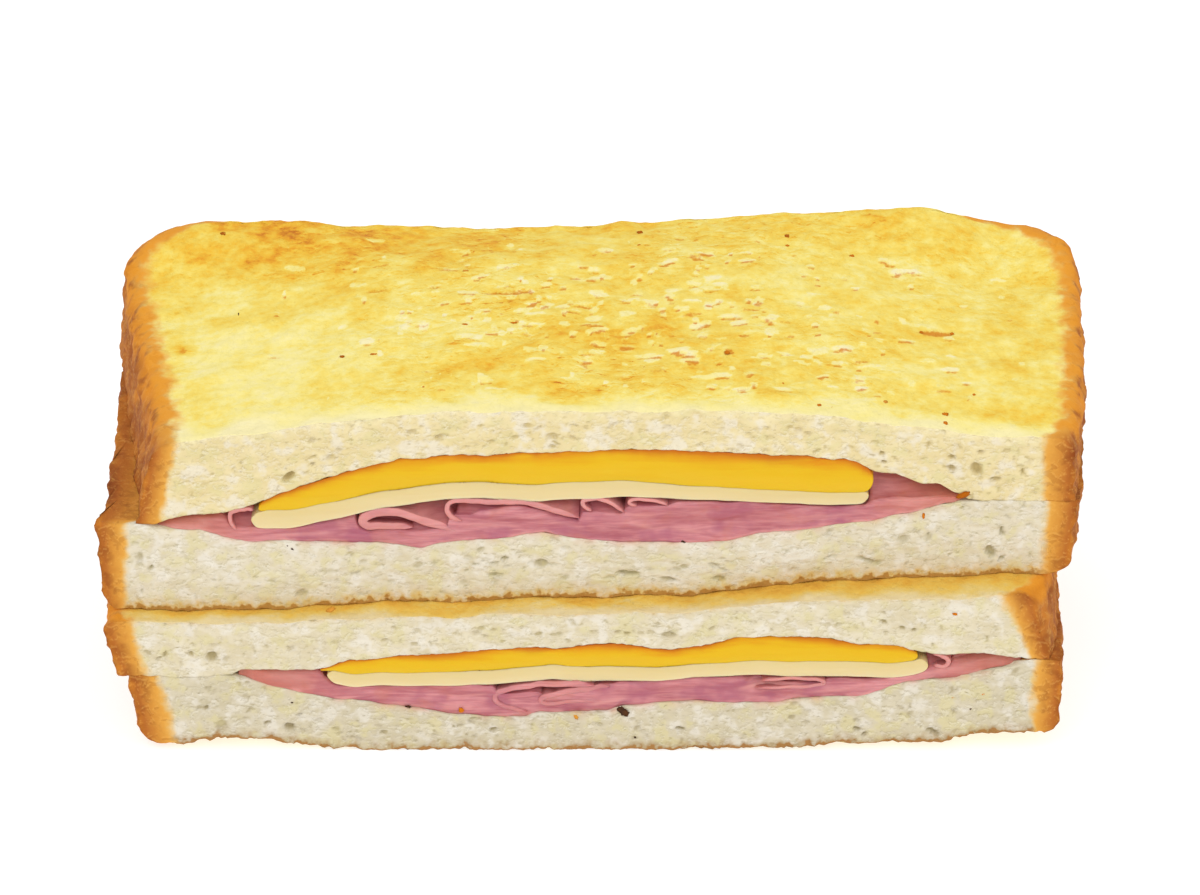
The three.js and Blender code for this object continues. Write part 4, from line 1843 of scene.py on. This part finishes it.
PILES = {
    Half.LOWER: HamPile(
        Half.LOWER,
        bed=(-47.0, 57.5),
        bed_line=(
            (-47, 11.7), (-45.4, 12.1), (-42, 11.9), (-36.3, 11.8), (-35.2, 10.6), (-34.2, 9.95),
            (-31.6, 9.6), (-28, 9.9), (-23.8, 9.65), (-13.1, 9.9), (-12.2, 8.9), (-10.4, 8.7), (-8, 9.1),
            (-6.8, 8.6), (-6, 8.3), (0, 9.7), (1.3, 10.2), (2.9, 10.1), (3.7, 10.3), (12, 10.7),
            (20.2, 11.2), (21, 10.6), (26.6, 10), (30.5, 10.2), (31.8, 10.95), (39.6, 10.95), (43, 11.2),
            (44.2, 11.9), (45.3, 12.6), (47.7, 12.8), (48.5, 13.8), (51.3, 14.1), (57.5, 14.2),
        ),
        covered=(-35.6, 44.8),
        folds={
            "left": Fold(
                (
                    (-8.4, 6), (-10.4, 6.6), (-12.4, 7.4), (-12.7, 8.5), (-11.8, 9.3), (-9.5, 9.85),
                    (-6.5, 10.2), (-3, 10.25), (0.5, 10.2),
                ),
                (0.5, 0.75, 0.9), 0.0, 0.35,
            ),
            "middle": Fold(
                (
                    (1.3, 7.8), (-2.7, 7.5), (-5.6, 7.2), (-6.6, 7.7), (-5.9, 8.4), (-3.4, 9.1), (0, 9.6),
                    (2.6, 9.9),
                ),
                (0.5, 0.7, 0.8), 0.0, 0.4,
            ),
            "right": Fold(
                (
                    (22.1, 9.5), (25.3, 9.5), (28.8, 9.75), (30.9, 10.1), (31.2, 10.5), (30.4, 10.8),
                    (28.8, 10.85), (25.3, 10.8), (22.9, 10.6),
                ),
                (0.4, 0.5, 0.4), 0.0, 0.7,
            ),
            "curl": Fold(
                ((45.8, 12.7), (47.2, 12.8), (47.8, 13.5), (47.6, 14.1), (46.8, 14.4), (45.7, 14.4)),
                (0.5, 0.6, 0.4), 0.0, 0.8,
            ),
        },
        hollows=((-40.0, 4.0, 1.2), (23.0, 2.5, 1.5), (52.0, 4.5, 2.0)),
        strokes=each(
            Stroke,
            ((-30, 9.2), (-14, 9.4), 0.3, -0.3), ((-21, 7.2), (-15, 6.3), 0.35, 0.35),
            ((-17.4, 8.2), (-13.5, 8.6), 0.25, 0.4), ((-6.9, 7.6), (-2.8, 8.6), 0.28, 0.65),
            ((-0.5, 6.8), (5, 8), 0.3, 0.6), ((4, 9), (16, 10), 0.4, -0.3),
            ((19.5, 9.2), (26.5, 10.2), 0.32, 0.75), ((28.5, 8.8), (36, 9.6), 0.3, 0.35),
            ((38, 10.6), (52, 12.9), 0.45, 0.45), ((-44, 11.4), (-37, 10.6), 0.5, 0.4),
        ),
        seed=201,
    ),
    Half.UPPER: HamPile(
        Half.UPPER,
        bed=(-57.5, 50.5),
        bed_line=(
            (-57.5, 32.2), (-56.3, 32.8), (-53.7, 33), (-51, 33.2), (-48.9, 33.3), (-48.3, 33.1),
            (-47.6, 32), (-44.8, 31.75), (-39.8, 31.8), (-35.8, 32.55), (-33.1, 33.2), (-31.3, 33.65),
            (-30.7, 31.8), (-29.2, 31.2), (-19.2, 31.25), (-18.6, 33.25), (-15.9, 33.4), (-14.6, 34.1),
            (-10.6, 34.45), (-8, 34), (-6, 33.5), (-4, 32.9), (-1.7, 32.3), (-1, 33.4), (4.1, 33.4),
            (4.7, 34.15), (5.3, 34.6), (10.2, 34.6), (11.4, 35.3), (17.2, 35.1), (22.5, 34.6),
            (36.4, 34.2), (37.5, 34.9), (41, 35.2), (45, 35.25), (47.7, 35.5), (49, 35.7), (50.5, 35.2),
        ),
        covered=(-44.9, 36.9),
        folds={
            "curl": Fold(
                (
                    (-47, 31.5), (-47.7, 32.5), (-47.8, 33.6), (-47.4, 34.2), (-46.5, 34.5), (-45.6, 34.6),
                    (-44.7, 34.5),
                ),
                (0.5, 0.55, 0.5), 0.0, 0.75,
            ),
            "first": Fold(
                (
                    (-23.6, 31.9), (-25.5, 31.8), (-27.6, 31.8), (-29.4, 32), (-30.2, 32.75),
                    (-29.7, 33.5), (-27.8, 33.85), (-25.7, 33.9), (-23.3, 33.3), (-20.7, 32.1),
                    (-17.8, 30.9),
                ),
                (0.9, 1.2, 1.0), 0.4, 0.6,
            ),
            "second": Fold(
                (
                    (-17, 32.6), (-18.3, 33), (-19, 34.1), (-18.6, 35.1), (-17, 35.5), (-14.3, 35.5),
                    (-11.3, 35.25), (-8, 34.8), (-4.7, 33.9), (-1.5, 32.8),
                ),
                (0.6, 0.7, 0.9), 0.35, 0.7,
            ),
            "third": Fold(
                (
                    (0.2, 33.7), (-0.6, 34.2), (-1, 34.9), (-0.7, 35.35), (0.6, 35.5), (2, 35.35),
                    (3, 34.85), (4.5, 33.8),
                ),
                (0.5, 0.6, 0.5), 0.0, 0.85,
            ),
            "fourth": Fold(
                (
                    (6.2, 34.7), (5.4, 35), (5.2, 35.35), (5.7, 35.6), (7, 35.65), (8.7, 35.4), (10.3, 34.85),
                ),
                (0.4, 0.5, 0.4), 0.0, 0.7,
            ),
        },
        hollows=((-53.0, 4.5, 1.8), (-33.5, 2.5, 0.8), (-4.5, 2.5, 0.6)),
        strokes=each(
            Stroke,
            ((-43, 30.6), (-33, 31), 0.3, 0.35), ((-38, 31.5), (-32, 32), 0.3, -0.2),
            ((-31, 30.3), (-14, 30.6), 0.3, -0.3), ((-17, 32), (-9, 31.9), 0.3, 0.35),
            ((-16, 33), (-6, 32.6), 0.22, -0.4), ((-6, 32.3), (-0.5, 31.5), 0.3, 0.3),
            ((5, 32.2), (8.5, 31.3), 0.35, 0.55), ((4, 33.6), (9, 32.7), 0.25, 0.3),
            ((11, 31.1), (15, 30.6), 0.3, 0.55), ((10, 34.4), (24, 34.2), 0.3, -0.35),
            ((20.5, 33.6), (26, 33.4), 0.25, -0.4), ((24, 32.6), (36, 33.2), 0.4, 0.35),
            ((8, 32.3), (30, 33.3), 1, -0.4), ((39.5, 34.8), (47, 35.6), 0.8, 0.4),
            ((38.6, 35.8), (39, 37.4), 0.45, -0.8), ((-56, 32.3), (-50, 32.2), 0.5, 0.4),
        ),
        seed=211,
    ),
}

CHEESES = (
    CheesePair(Half.LOWER, (1.5, 1.7, 1.9, 2.1, 2.2, 2.0, 2.3, 2.1, 1.9), (-35.0, 45.2), (-35.9, 43.8), 301),
    CheesePair(Half.UPPER, (2.8, 2.8, 2.5, 2.4, 2.5, 2.0, 1.9, 1.6, 1.5), (-45.0, 36.9), (-44.0, 37.5), 311),
)

BREAD_SURFACE = Surface(
    roughness=0.85,
    specular=0.2,
    glow=0.0,
    glow_depth=0.8,
    glow_colours=(1.0, 0.7, 0.4),
    bump=0.55,
    bump_depth=0.25,
)

CRUST_COLOURS = (
    (0.0, srgb(160, 84, 28)),
    (0.16, srgb(182, 106, 40)),
    (0.4, srgb(208, 139, 54)),
    (0.68, srgb(226, 162, 68)),
    (0.86, srgb(232, 188, 106)),
    (1.0, srgb(236, 208, 150)),
)
GOLDEN = (
    (0.0, srgb(254, 243, 190)),
    (0.15, srgb(254, 240, 164)),
    (0.3, srgb(253, 237, 146)),
    (0.45, srgb(251, 227, 116)),
    (0.6, srgb(248, 214, 90)),
    (0.75, srgb(245, 195, 62)),
    (0.88, srgb(238, 168, 44)),
    (1.0, srgb(210, 124, 34)),
)
# Toast of the lower half's top slice, darker and duller: painted shade where the upper half hangs over it
SHADED_TOAST = (
    (0.0, srgb(240, 228, 194)),
    (0.2, srgb(238, 216, 156)),
    (0.4, srgb(237, 207, 122)),
    (0.6, srgb(238, 198, 92)),
    (0.8, srgb(236, 184, 74)),
    (1.0, srgb(222, 164, 62)),
)

BREADS = (
    BreadSlice(
        Half.LOWER,
        toast_up=False,
        finish=ToastedBread(
            "lowest_bread",
            BREAD_SURFACE,
            crumb=srgb(220, 209, 184),
            crumb_shade=srgb(203, 191, 160),
            pore_shade=srgb(166, 150, 108),
            toasts=GOLDEN,
            scorch=srgb(174, 142, 94),
        ),
        left=Wall((-61.6, -60.0), (-62.4, -61.0), 1.0, LEFT_CORNER),
        right=Wall((63.0, 62.7), (63.4, 62.9), -1.0, RIGHT_CORNER),
        seed=101,
        holes=each(
            Dent,
            (-49.4, 3.8, 0.8, 0.9, 0, 0.5, 0.5), (-40.3, 3.6, 0.8, 0.5, -5, 0.7),
            (-43.2, 4.3, 0.6, 0.25, 25, 0.5, 1), (-51.4, 6.5, 0.5, 0.25, 50, 0.4),
            (45.9, 3, 1.2, 0.3, -32, 0.6), (35.7, 3.4, 0.6, 0.25, -10, 0.5),
            (36.8, 2.6, 0.5, 0.25, 0, 0.5, 1), (-13, 3.2, 0.6, 0.25, 15, 0.4),
            (12, 3.4, 0.7, 0.25, -10, 0.4),
        ),
        toasting=0.6,
        pale_edge=1.5,
        scorching=(0.95, 1.1),
        crust_widths=((4.6, 5.2), (4.4, 4.2)),
    ),
    BreadSlice(
        Half.LOWER,
        toast_up=True,
        finish=ToastedBread(
            "third_bread",
            BREAD_SURFACE,
            crumb=srgb(231, 220, 193),
            crumb_shade=srgb(214, 200, 166),
            pore_shade=srgb(182, 166, 118),
            toasts=SHADED_TOAST,
            scorch=srgb(226, 190, 120),
        ),
        left=Wall((-62.7, -65.0), (-63.0, -64.9), 1.0, LEFT_CORNER),
        right=Wall((61.2, 58.8), (62.8, 62.4), -1.0, RIGHT_CORNER),
        seed=102,
        holes=each(
            Dent,
            (-50.5, 14.4, 0.75, 0.75, 0, 0.8), (-53.2, 14.8, 0.35, 0.3, 0, 0.4),
            (-56.7, 14.8, 0.25, 0.5, 0, 0.4), (10.4, 17.7, 1.1, 0.45, 0, 0.6, 0.7),
            (4.8, 17.9, 0.55, 0.25, 0, 0.4), (39, 19.7, 0.5, 0.25, -20, 0.5),
            (41.5, 18.8, 0.4, 0.25, -20, 0.4), (43.1, 18.5, 0.35, 0.25, 10, 0.4),
        ),
        toasting=0.85,
        pale_edge=4.6,
        pale_share=0.15,
        scorching=(0.4, 0.8),
        crust_widths=((4.2, 4.4), (3.0, 5.2)),
    ),
    BreadSlice(
        Half.UPPER,
        toast_up=False,
        finish=ToastedBread(
            "second_bread",
            BREAD_SURFACE,
            crumb=srgb(231, 221, 199),
            crumb_shade=srgb(215, 202, 170),
            pore_shade=srgb(176, 162, 116),
            toasts=GOLDEN,
            scorch=srgb(218, 178, 84),
        ),
        left=Wall((-65.4, -64.8), (-64.1, -63.8), 1.0, LEFT_CORNER),
        right=Wall((64.8, 63.8), (66.1, 65.1), -1.0, RIGHT_CORNER),
        seed=103,
        holes=each(
            Dent,
            (-6.5, 26.2, 1, 0.55, 0, 0.6, 0.8), (5, 24.5, 1.7, 0.35, -3, 0.6),
            (-11.4, 27, 0.5, 0.28, 10, 0.5), (-12.6, 24.5, 1.2, 0.28, 0, 0.4, 0.7),
            (-12.7, 26.3, 0.7, 0.25, 5, 0.4, 0.7), (17.2, 23.6, 0.9, 0.3, -15, 0.5),
            (10.4, 23.6, 1.2, 0.3, -12, 0.5, 0.7), (16.5, 25.7, 0.8, 0.25, -25, 0.4, 0.6),
            (-38.5, 21.9, 0.9, 0.5, 10, 0.5, 0.8), (-59.9, 27.7, 0.5, 0.7, 0, 0.4, 0.7),
            (-58.5, 26.1, 0.5, 0.3, 40, 0.5), (53.3, 27.3, 0.6, 1, 30, 0.7),
            (54.8, 26.3, 0.4, 0.4, 0, 0.5), (54.7, 30.4, 0.25, 0.9, 15, 0.5),
            (37.3, 26, 2, 0.25, -18, 0.4, 0.8), (41.7, 29.4, 0.8, 0.5, 0, 0.4, 0.6),
            (45, 29.7, 0.4, 0.6, 0, 0.4, 0.6),
        ),
        toasting=0.6,
        pale_edge=1.5,
        scorching=(1.0, 1.3),
        crust_widths=((4.4, 3.4), (4.8, 4.4)),
    ),
    BreadSlice(
        Half.UPPER,
        toast_up=True,
        finish=ToastedBread(
            "top_bread",
            BREAD_SURFACE,
            crumb=srgb(237, 221, 174),
            crumb_shade=srgb(226, 206, 152),
            pore_shade=srgb(188, 166, 110),
            toasts=GOLDEN,
            scorch=srgb(250, 238, 190),
        ),
        left=Wall((-60.2, -57.9), (-64.7, -64.0), 1.0, 10.0, slow=True),
        right=Wall((64.1, 64.1), (66.6, 67.4), -1.0, 12.6, reach=14.0),
        seed=104,
        holes=each(
            Dent,
            (-39.9, 39.6, 0.95, 0.5, 40, 0.9), (-36.7, 41.5, 0.4, 0.25, 0, 0.4),
            (38.6, 42.3, 0.4, 0.25, -10, 0.5), (38.9, 41, 0.4, 0.25, 0, 0.5),
            (47.9, 41.7, 0.5, 0.35, -10, 0.5), (51.7, 42.3, 0.5, 0.3, 0, 0.5),
            (51.2, 39.8, 0.7, 1, 30, 0.8), (47.9, 40, 0.6, 0.45, -20, 0.6), (53.7, 38.3, 0.8, 0.3, 0, 0.5),
            (57.4, 39.3, 0.2, 0.6, 15, 0.5), (-20, 45.3, 0.8, 0.4, 20, 0.4, 0.5),
            (-5, 45.2, 0.9, 0.45, -10, 0.4, 0.5),
        ),
        toasting=0.5,
        pale_edge=7.0,
        pale_share=0.12,
        scorching=(0.45, 1.8),
        crust_widths=((4.0, 3.9), (4.6, 4.8)),
        top_margins=(4.2, 4.0, 1.2),
        flakes=420,
        tans=each(
            Tan,
            (-36, 55, 24, 9, 0.4), (0, 6, 24, 5, 0.14), (-46, 17, 17, 18, -0.2), (-55, 27, 1.5, 1.6, 0.4),
            (-21, 27, 7, 2.5, -0.14), (2, 20, 24, 8, 0.13), (26, 38, 14, 4, -0.13), (38, 53, 18, 6, 0.07),
            (48, 14, 9, 4, -0.14), (56, 19, 2.2, 1.8, 0.14), (10, 61, 70, 6, 0.12),
        ),
        tears=each(
            Dent,
            (-10.6, 34.7, 4.6, 0.5, 3, 0.25, 0.75), (-29, 36.9, 1.7, 0.6, 0, 0.2, 0.6),
            (-21.5, 36.5, 0.9, 0.5, 10, 0.2, 0.5), (-33.7, 18.4, 0.7, 0.5, -10, 0.2, 0.9),
            (46.6, 28.2, 2.6, 1.1, 2, 0.15, 0.9), (18.5, 16.8, 0.8, 0.8, 0, 0.15, 0.8),
            (13.8, 28.2, 1.5, 0.5, 15, 0.15, 0.6), (30.1, 59, 0.8, 1, 0, 0.15, 0.7),
            (-28.9, 51.1, 0.7, 0.8, 0, 0.15, 0.5), (-55, 26.8, 0.9, 0.8, 0, 0.1, 0.6),
            (23.1, 50.2, 0.8, 0.6, 0, 0.1, 0.5),
        ),
    ),
)


@dataclass(frozen=True)
class Bit:
    """A burnt crumb or a flake of pepper: its place, half lengths, tilt in degrees and tone."""

    x: float
    height: float
    length: float
    thick: float
    tilt: float
    tone: Tone


@dataclass
class Bits:
    """Burnt crumbs and pepper stuck to the cut faces and the toasted top."""

    cut: dict[Half, Sequence[Bit]]
    top: Sequence[Bit]
    seed: int = 401

    def build(self, stack: Stack, material: bpy.types.Material) -> bpy.types.Object:
        """Makes all bits as one piece.

        Args:
            stack: The shared surfaces.
            material: Their finish.

        Returns:
            The object.
        """
        ball, faces = self._lump()
        draw = np.random.default_rng(self.seed)
        points, found, tones = [], [], []
        stuck = [(bit, half, False) for half, bits in self.cut.items() for bit in bits]
        stuck += [(bit, Half.UPPER, True) for bit in self.top]
        for number, (bit, half, on_top) in enumerate(stuck):
            along, out, up = self._shape(ball, bit, draw).T
            behind = float(cut_face(half, bit.x))
            if on_top:
                level = float(stack.at("top", np.array([bit.x]), np.array([bit.height]))[0])
                lump = flat(along, up, out * 0.6) + (bit.x, bit.height + behind, level)
            else:
                lump = flat(along, out, up) + (bit.x, behind, bit.height)
            points.append(lump)
            found.append((faces[:, ::-1] if on_top else faces) + len(ball) * number)
            tones.append(np.full(len(ball), bit.tone.value))
        shades = {"tone": np.concatenate(tones)}
        return make_piece("burnt_bits", np.vstack(points), found, shades, material, [], stack)

    @staticmethod
    def _lump() -> tuple[Array, Array]:
        """A ball of radius 1, in a lattice of points pushed out from a cube."""
        line = np.linspace(0.0, 1.0, 6)
        shell = Shell([line, line, line])
        cube = shell.shares * 2.0 - 1.0
        return cube / np.linalg.norm(cube, axis=1, keepdims=True), np.vstack(shell.faces)

    @staticmethod
    def _shape(ball: Array, bit: Bit, draw: np.random.Generator) -> Array:
        """Makes a ball into a ragged flake that lies on its surface.

        Args:
            ball: Points of the ball.
            bit: The bit's sizes.
            draw: Source of its unevenness.

        Returns:
            Points round the bit's middle, along the surface, out of it and up it.
        """
        lump = ball * (1.0 + 0.35 * draw.uniform(-1.0, 1.0, (len(ball), 1)))
        lump = lump * (bit.length, min(bit.length, bit.thick) * 0.4, bit.thick)
        turn = math.radians(bit.tilt)
        along = lump[:, 0] * math.cos(turn) - lump[:, 2] * math.sin(turn)
        up = lump[:, 0] * math.sin(turn) + lump[:, 2] * math.cos(turn)
        return flat(along, lump[:, 1], up)


BITS = Bits(
    cut={
        Half.UPPER: each(
            Bit,
            (-39.9, 28.9, 0.5, 0.14, -40, Tone.BLACK), (12.4, 29.2, 0.33, 0.2, -10, Tone.BLACK),
            (49.5, 35.9, 0.9, 0.35, 18, Tone.BROWN), (44.3, 32.8, 0.16, 0.4, 0, Tone.RUST),
            (12.2, 40.5, 0.14, 0.14, 0, Tone.RUST), (24.1, 37.3, 0.2, 0.14, 0, Tone.RUST),
        ),
        Half.LOWER: each(
            Bit,
            (-40, 7.3, 0.3, 0.13, 0, Tone.BLACK), (-24.4, 6.7, 0.42, 0.22, 0, Tone.BLACK),
            (-17.3, 6.2, 0.35, 0.35, 0, Tone.RUST), (-1.9, 5.2, 0.24, 0.42, 15, Tone.ORANGE),
            (4.4, 6, 0.85, 0.5, -40, Tone.BLACK), (6, 2, 0.14, 0.14, 0, Tone.BLACK),
            (48.8, 8.4, 0.5, 0.18, 30, Tone.RUST), (52.4, 8.6, 0.28, 0.16, 10, Tone.RUST),
            (50.8, 6.4, 0.2, 0.14, 0, Tone.BLACK), (54.5, 15.1, 0.16, 0.3, 0, Tone.BLACK),
            (48.5, 20.9, 0.3, 0.18, -15, Tone.RUST), (-34.5, 21.6, 0.6, 0.35, 30, Tone.ORANGE),
        ),
    },
    top=each(
        Bit,
        (-50.6, 56.3, 0.4, 0.5, 0, Tone.BROWN), (-47.7, 35.5, 0.14, 0.35, 0, Tone.BLACK),
        (-33.2, 18.2, 0.3, 0.3, 0, Tone.BROWN), (-29, 18.1, 0.45, 0.22, 0, Tone.RUST),
        (-16.9, 25.4, 0.4, 0.25, 0, Tone.RUST), (-10.3, 25.7, 0.4, 0.22, 0, Tone.RUST),
        (-8.1, 25.4, 0.4, 0.22, 10, Tone.RUST), (-17, 41, 0.4, 0.25, 0, Tone.ORANGE),
        (-22.1, 7.9, 0.25, 0.3, 0, Tone.RUST), (6.8, 55.5, 0.4, 0.45, 0, Tone.BROWN),
        (6.7, 49.7, 0.32, 0.35, 0, Tone.RUST), (27, 52.2, 0.36, 0.5, 0, Tone.BROWN),
        (27, 49.7, 0.25, 0.3, 0, Tone.RUST), (35.8, 48, 0.35, 0.45, 0, Tone.RUST),
        (44.7, 28.2, 0.25, 0.3, 0, Tone.RUST), (48.9, 28.4, 0.25, 0.3, 0, Tone.RUST),
        (18.3, 16.5, 0.35, 0.4, 0, Tone.RUST), (7.2, 12.4, 0.2, 0.3, 0, Tone.RUST),
        (25.6, 9, 0.2, 0.3, 0, Tone.RUST), (30.3, 3.2, 0.28, 0.3, -20, Tone.RUST),
        (32, 2.7, 0.2, 0.3, 0, Tone.RUST), (39.1, 6.3, 0.35, 0.4, 0, Tone.ORANGE),
        (47.1, 4.6, 0.38, 0.5, 0, Tone.RUST), (47, 2, 0.38, 0.5, 0, Tone.RUST),
        (51.2, 11, 0.18, 0.3, 0, Tone.RUST),
    ),
)


@dataclass
class Studio:
    """A white table, soft light from above and a camera that looks down at the cut faces."""

    TABLE = {
        "Base Color": (0.5, 0.5, 0.5, 1.0),
        "Emission Color": (1.0, 1.0, 1.0, 1.0),
        "Emission Strength": 0.65,
        "Roughness": 0.9,
        "Specular IOR Level": 0.1,
    }
    distance: float = 1100.0
    elevation: float = 28.0
    target: tuple[float, float, float] = (1.3, 0.0, 46.0)
    pixels_per_mm: float = 7.6
    picture_width: float = 1200.0
    sensor: float = 36.0

    def build(self, stack: Stack) -> None:
        """Sets up the view, the light and the table.

        Args:
            stack: What the camera looks at.
        """
        scene = bpy.context.scene
        scene.view_settings.view_transform = "Standard"
        self._camera(stack)
        self._table()
        self._sky()
        self._lamp("key_light", (-0.35, -1.1, 1.15), 1.0, 6.0)
        self._lamp("fill_light", (0.9, -0.9, 0.7), 0.9, 2.0)

    def _camera(self, stack: Stack) -> None:
        """Stands the camera where the lens of that length sees the right scale."""
        lens = bpy.data.cameras.new("camera")
        lens.sensor_fit = "HORIZONTAL"
        lens.sensor_width = self.sensor
        lens.lens = self.pixels_per_mm * self.distance * self.sensor / self.picture_width
        lens.clip_start = 0.01
        camera = bpy.data.objects.new("camera", lens)
        tilt = math.radians(self.elevation)
        target = stack.metres(np.array(self.target))
        back = np.array([0.0, -math.cos(tilt), math.sin(tilt)])
        camera.location = target + back * self.distance * MM
        camera.rotation_euler = (math.pi / 2.0 - tilt, 0.0, 0.0)
        bpy.context.scene.collection.objects.link(camera)
        bpy.context.scene.camera = camera

    def _table(self) -> None:
        """Lays a white table top that runs out of the picture."""
        reach = 6.0
        mesh = bpy.data.meshes.new("table_top")
        corners = [(-reach, -reach, 0.0), (reach, -reach, 0.0), (reach, reach, 0.0), (-reach, reach, 0.0)]
        mesh.from_pydata(corners, [], [(0, 1, 2, 3)])
        material = bpy.data.materials.new("white_table")
        material.use_nodes = True
        shader = material.node_tree.nodes["Principled BSDF"]
        for socket, value in self.TABLE.items():
            shader.inputs[socket].default_value = value
        mesh.materials.append(material)
        table = bpy.data.objects.new("table_top", mesh)
        bpy.context.scene.collection.objects.link(table)

    def _sky(self) -> None:
        """Surrounds the table with even white light."""
        world = bpy.data.worlds.new("white_room")
        world.use_nodes = True
        background = world.node_tree.nodes["Background"]
        background.inputs["Color"].default_value = (1.0, 1.0, 1.0, 1.0)
        background.inputs["Strength"].default_value = 0.9
        bpy.context.scene.world = world

    def _lamp(self, name: str, location: tuple[float, float, float], size: float, power: float) -> None:
        """Hangs a soft lamp that faces the sandwich.

        Args:
            name: The lamp's name.
            location: Where it hangs, in metres.
            size: Its width, in metres.
            power: Its power, in watts.
        """
        light = bpy.data.lights.new(name, "AREA")
        light.shape = "DISK"
        light.size = size
        light.energy = power
        lamp = bpy.data.objects.new(name, light)
        x, y, z = location
        lamp.location = location
        lamp.rotation_euler = (math.atan2(math.hypot(x, y), z), 0.0, math.atan2(y, x) + math.pi / 2.0)
        bpy.context.scene.collection.objects.link(lamp)


ORANGE_CHEESE = Cheese(
    "orange_cheese",
    Surface(0.42, 0.18, 0.3, 1.0, (1.0, 0.55, 0.12), 0.25, 0.25),
    high=srgb(224, 150, 6),
    middle=srgb(230, 184, 18),
    low=srgb(231, 187, 34),
    edge=srgb(198, 106, 8),
)
PALE_CHEESE = Cheese(
    "pale_cheese",
    Surface(0.42, 0.18, 0.3, 1.0, (1.0, 0.7, 0.35), 0.2, 0.25),
    high=srgb(226, 203, 143),
    middle=srgb(227, 205, 148),
    low=srgb(231, 210, 157),
    edge=srgb(244, 230, 188),
)
HAM = SlicedHam(
    "ham",
    Surface(0.4, 0.35, 0.3, 0.9, (1.0, 0.35, 0.25), 0.35, 0.2, coat=0.06),
    body=srgb(174, 90, 102),
    light=srgb(222, 148, 150),
    dusky=srgb(170, 88, 113),
    warm=srgb(200, 116, 92),
    # Painted shade in the folds and hollows
    deep=srgb(168, 72, 74),
    rim=srgb(230, 160, 152),
)
BURNT = BurntBits("burnt_bits", Surface(0.9, 0.05, 0.0, 0.5, (1.0, 0.5, 0.3), 0.2, 0.1))


def main() -> None:
    """Builds the sandwich, its light and its camera."""
    logging.basicConfig(level=logging.INFO, format="%(message)s")
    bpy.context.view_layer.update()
    stack = Stack()
    effects = Effects()
    orange, pale = ORANGE_CHEESE.build(effects), PALE_CHEESE.build(effects)
    ham = HAM.build(effects)
    for bread in BREADS:
        bread.build(stack, effects)
    for cheese in CHEESES:
        cheese.build(stack, orange, pale)
    for pile in PILES.values():
        pile.build(stack, ham)
    BITS.build(stack, BURNT.build(effects))
    Studio().build(stack)


if __name__ == "__main__":
    main()
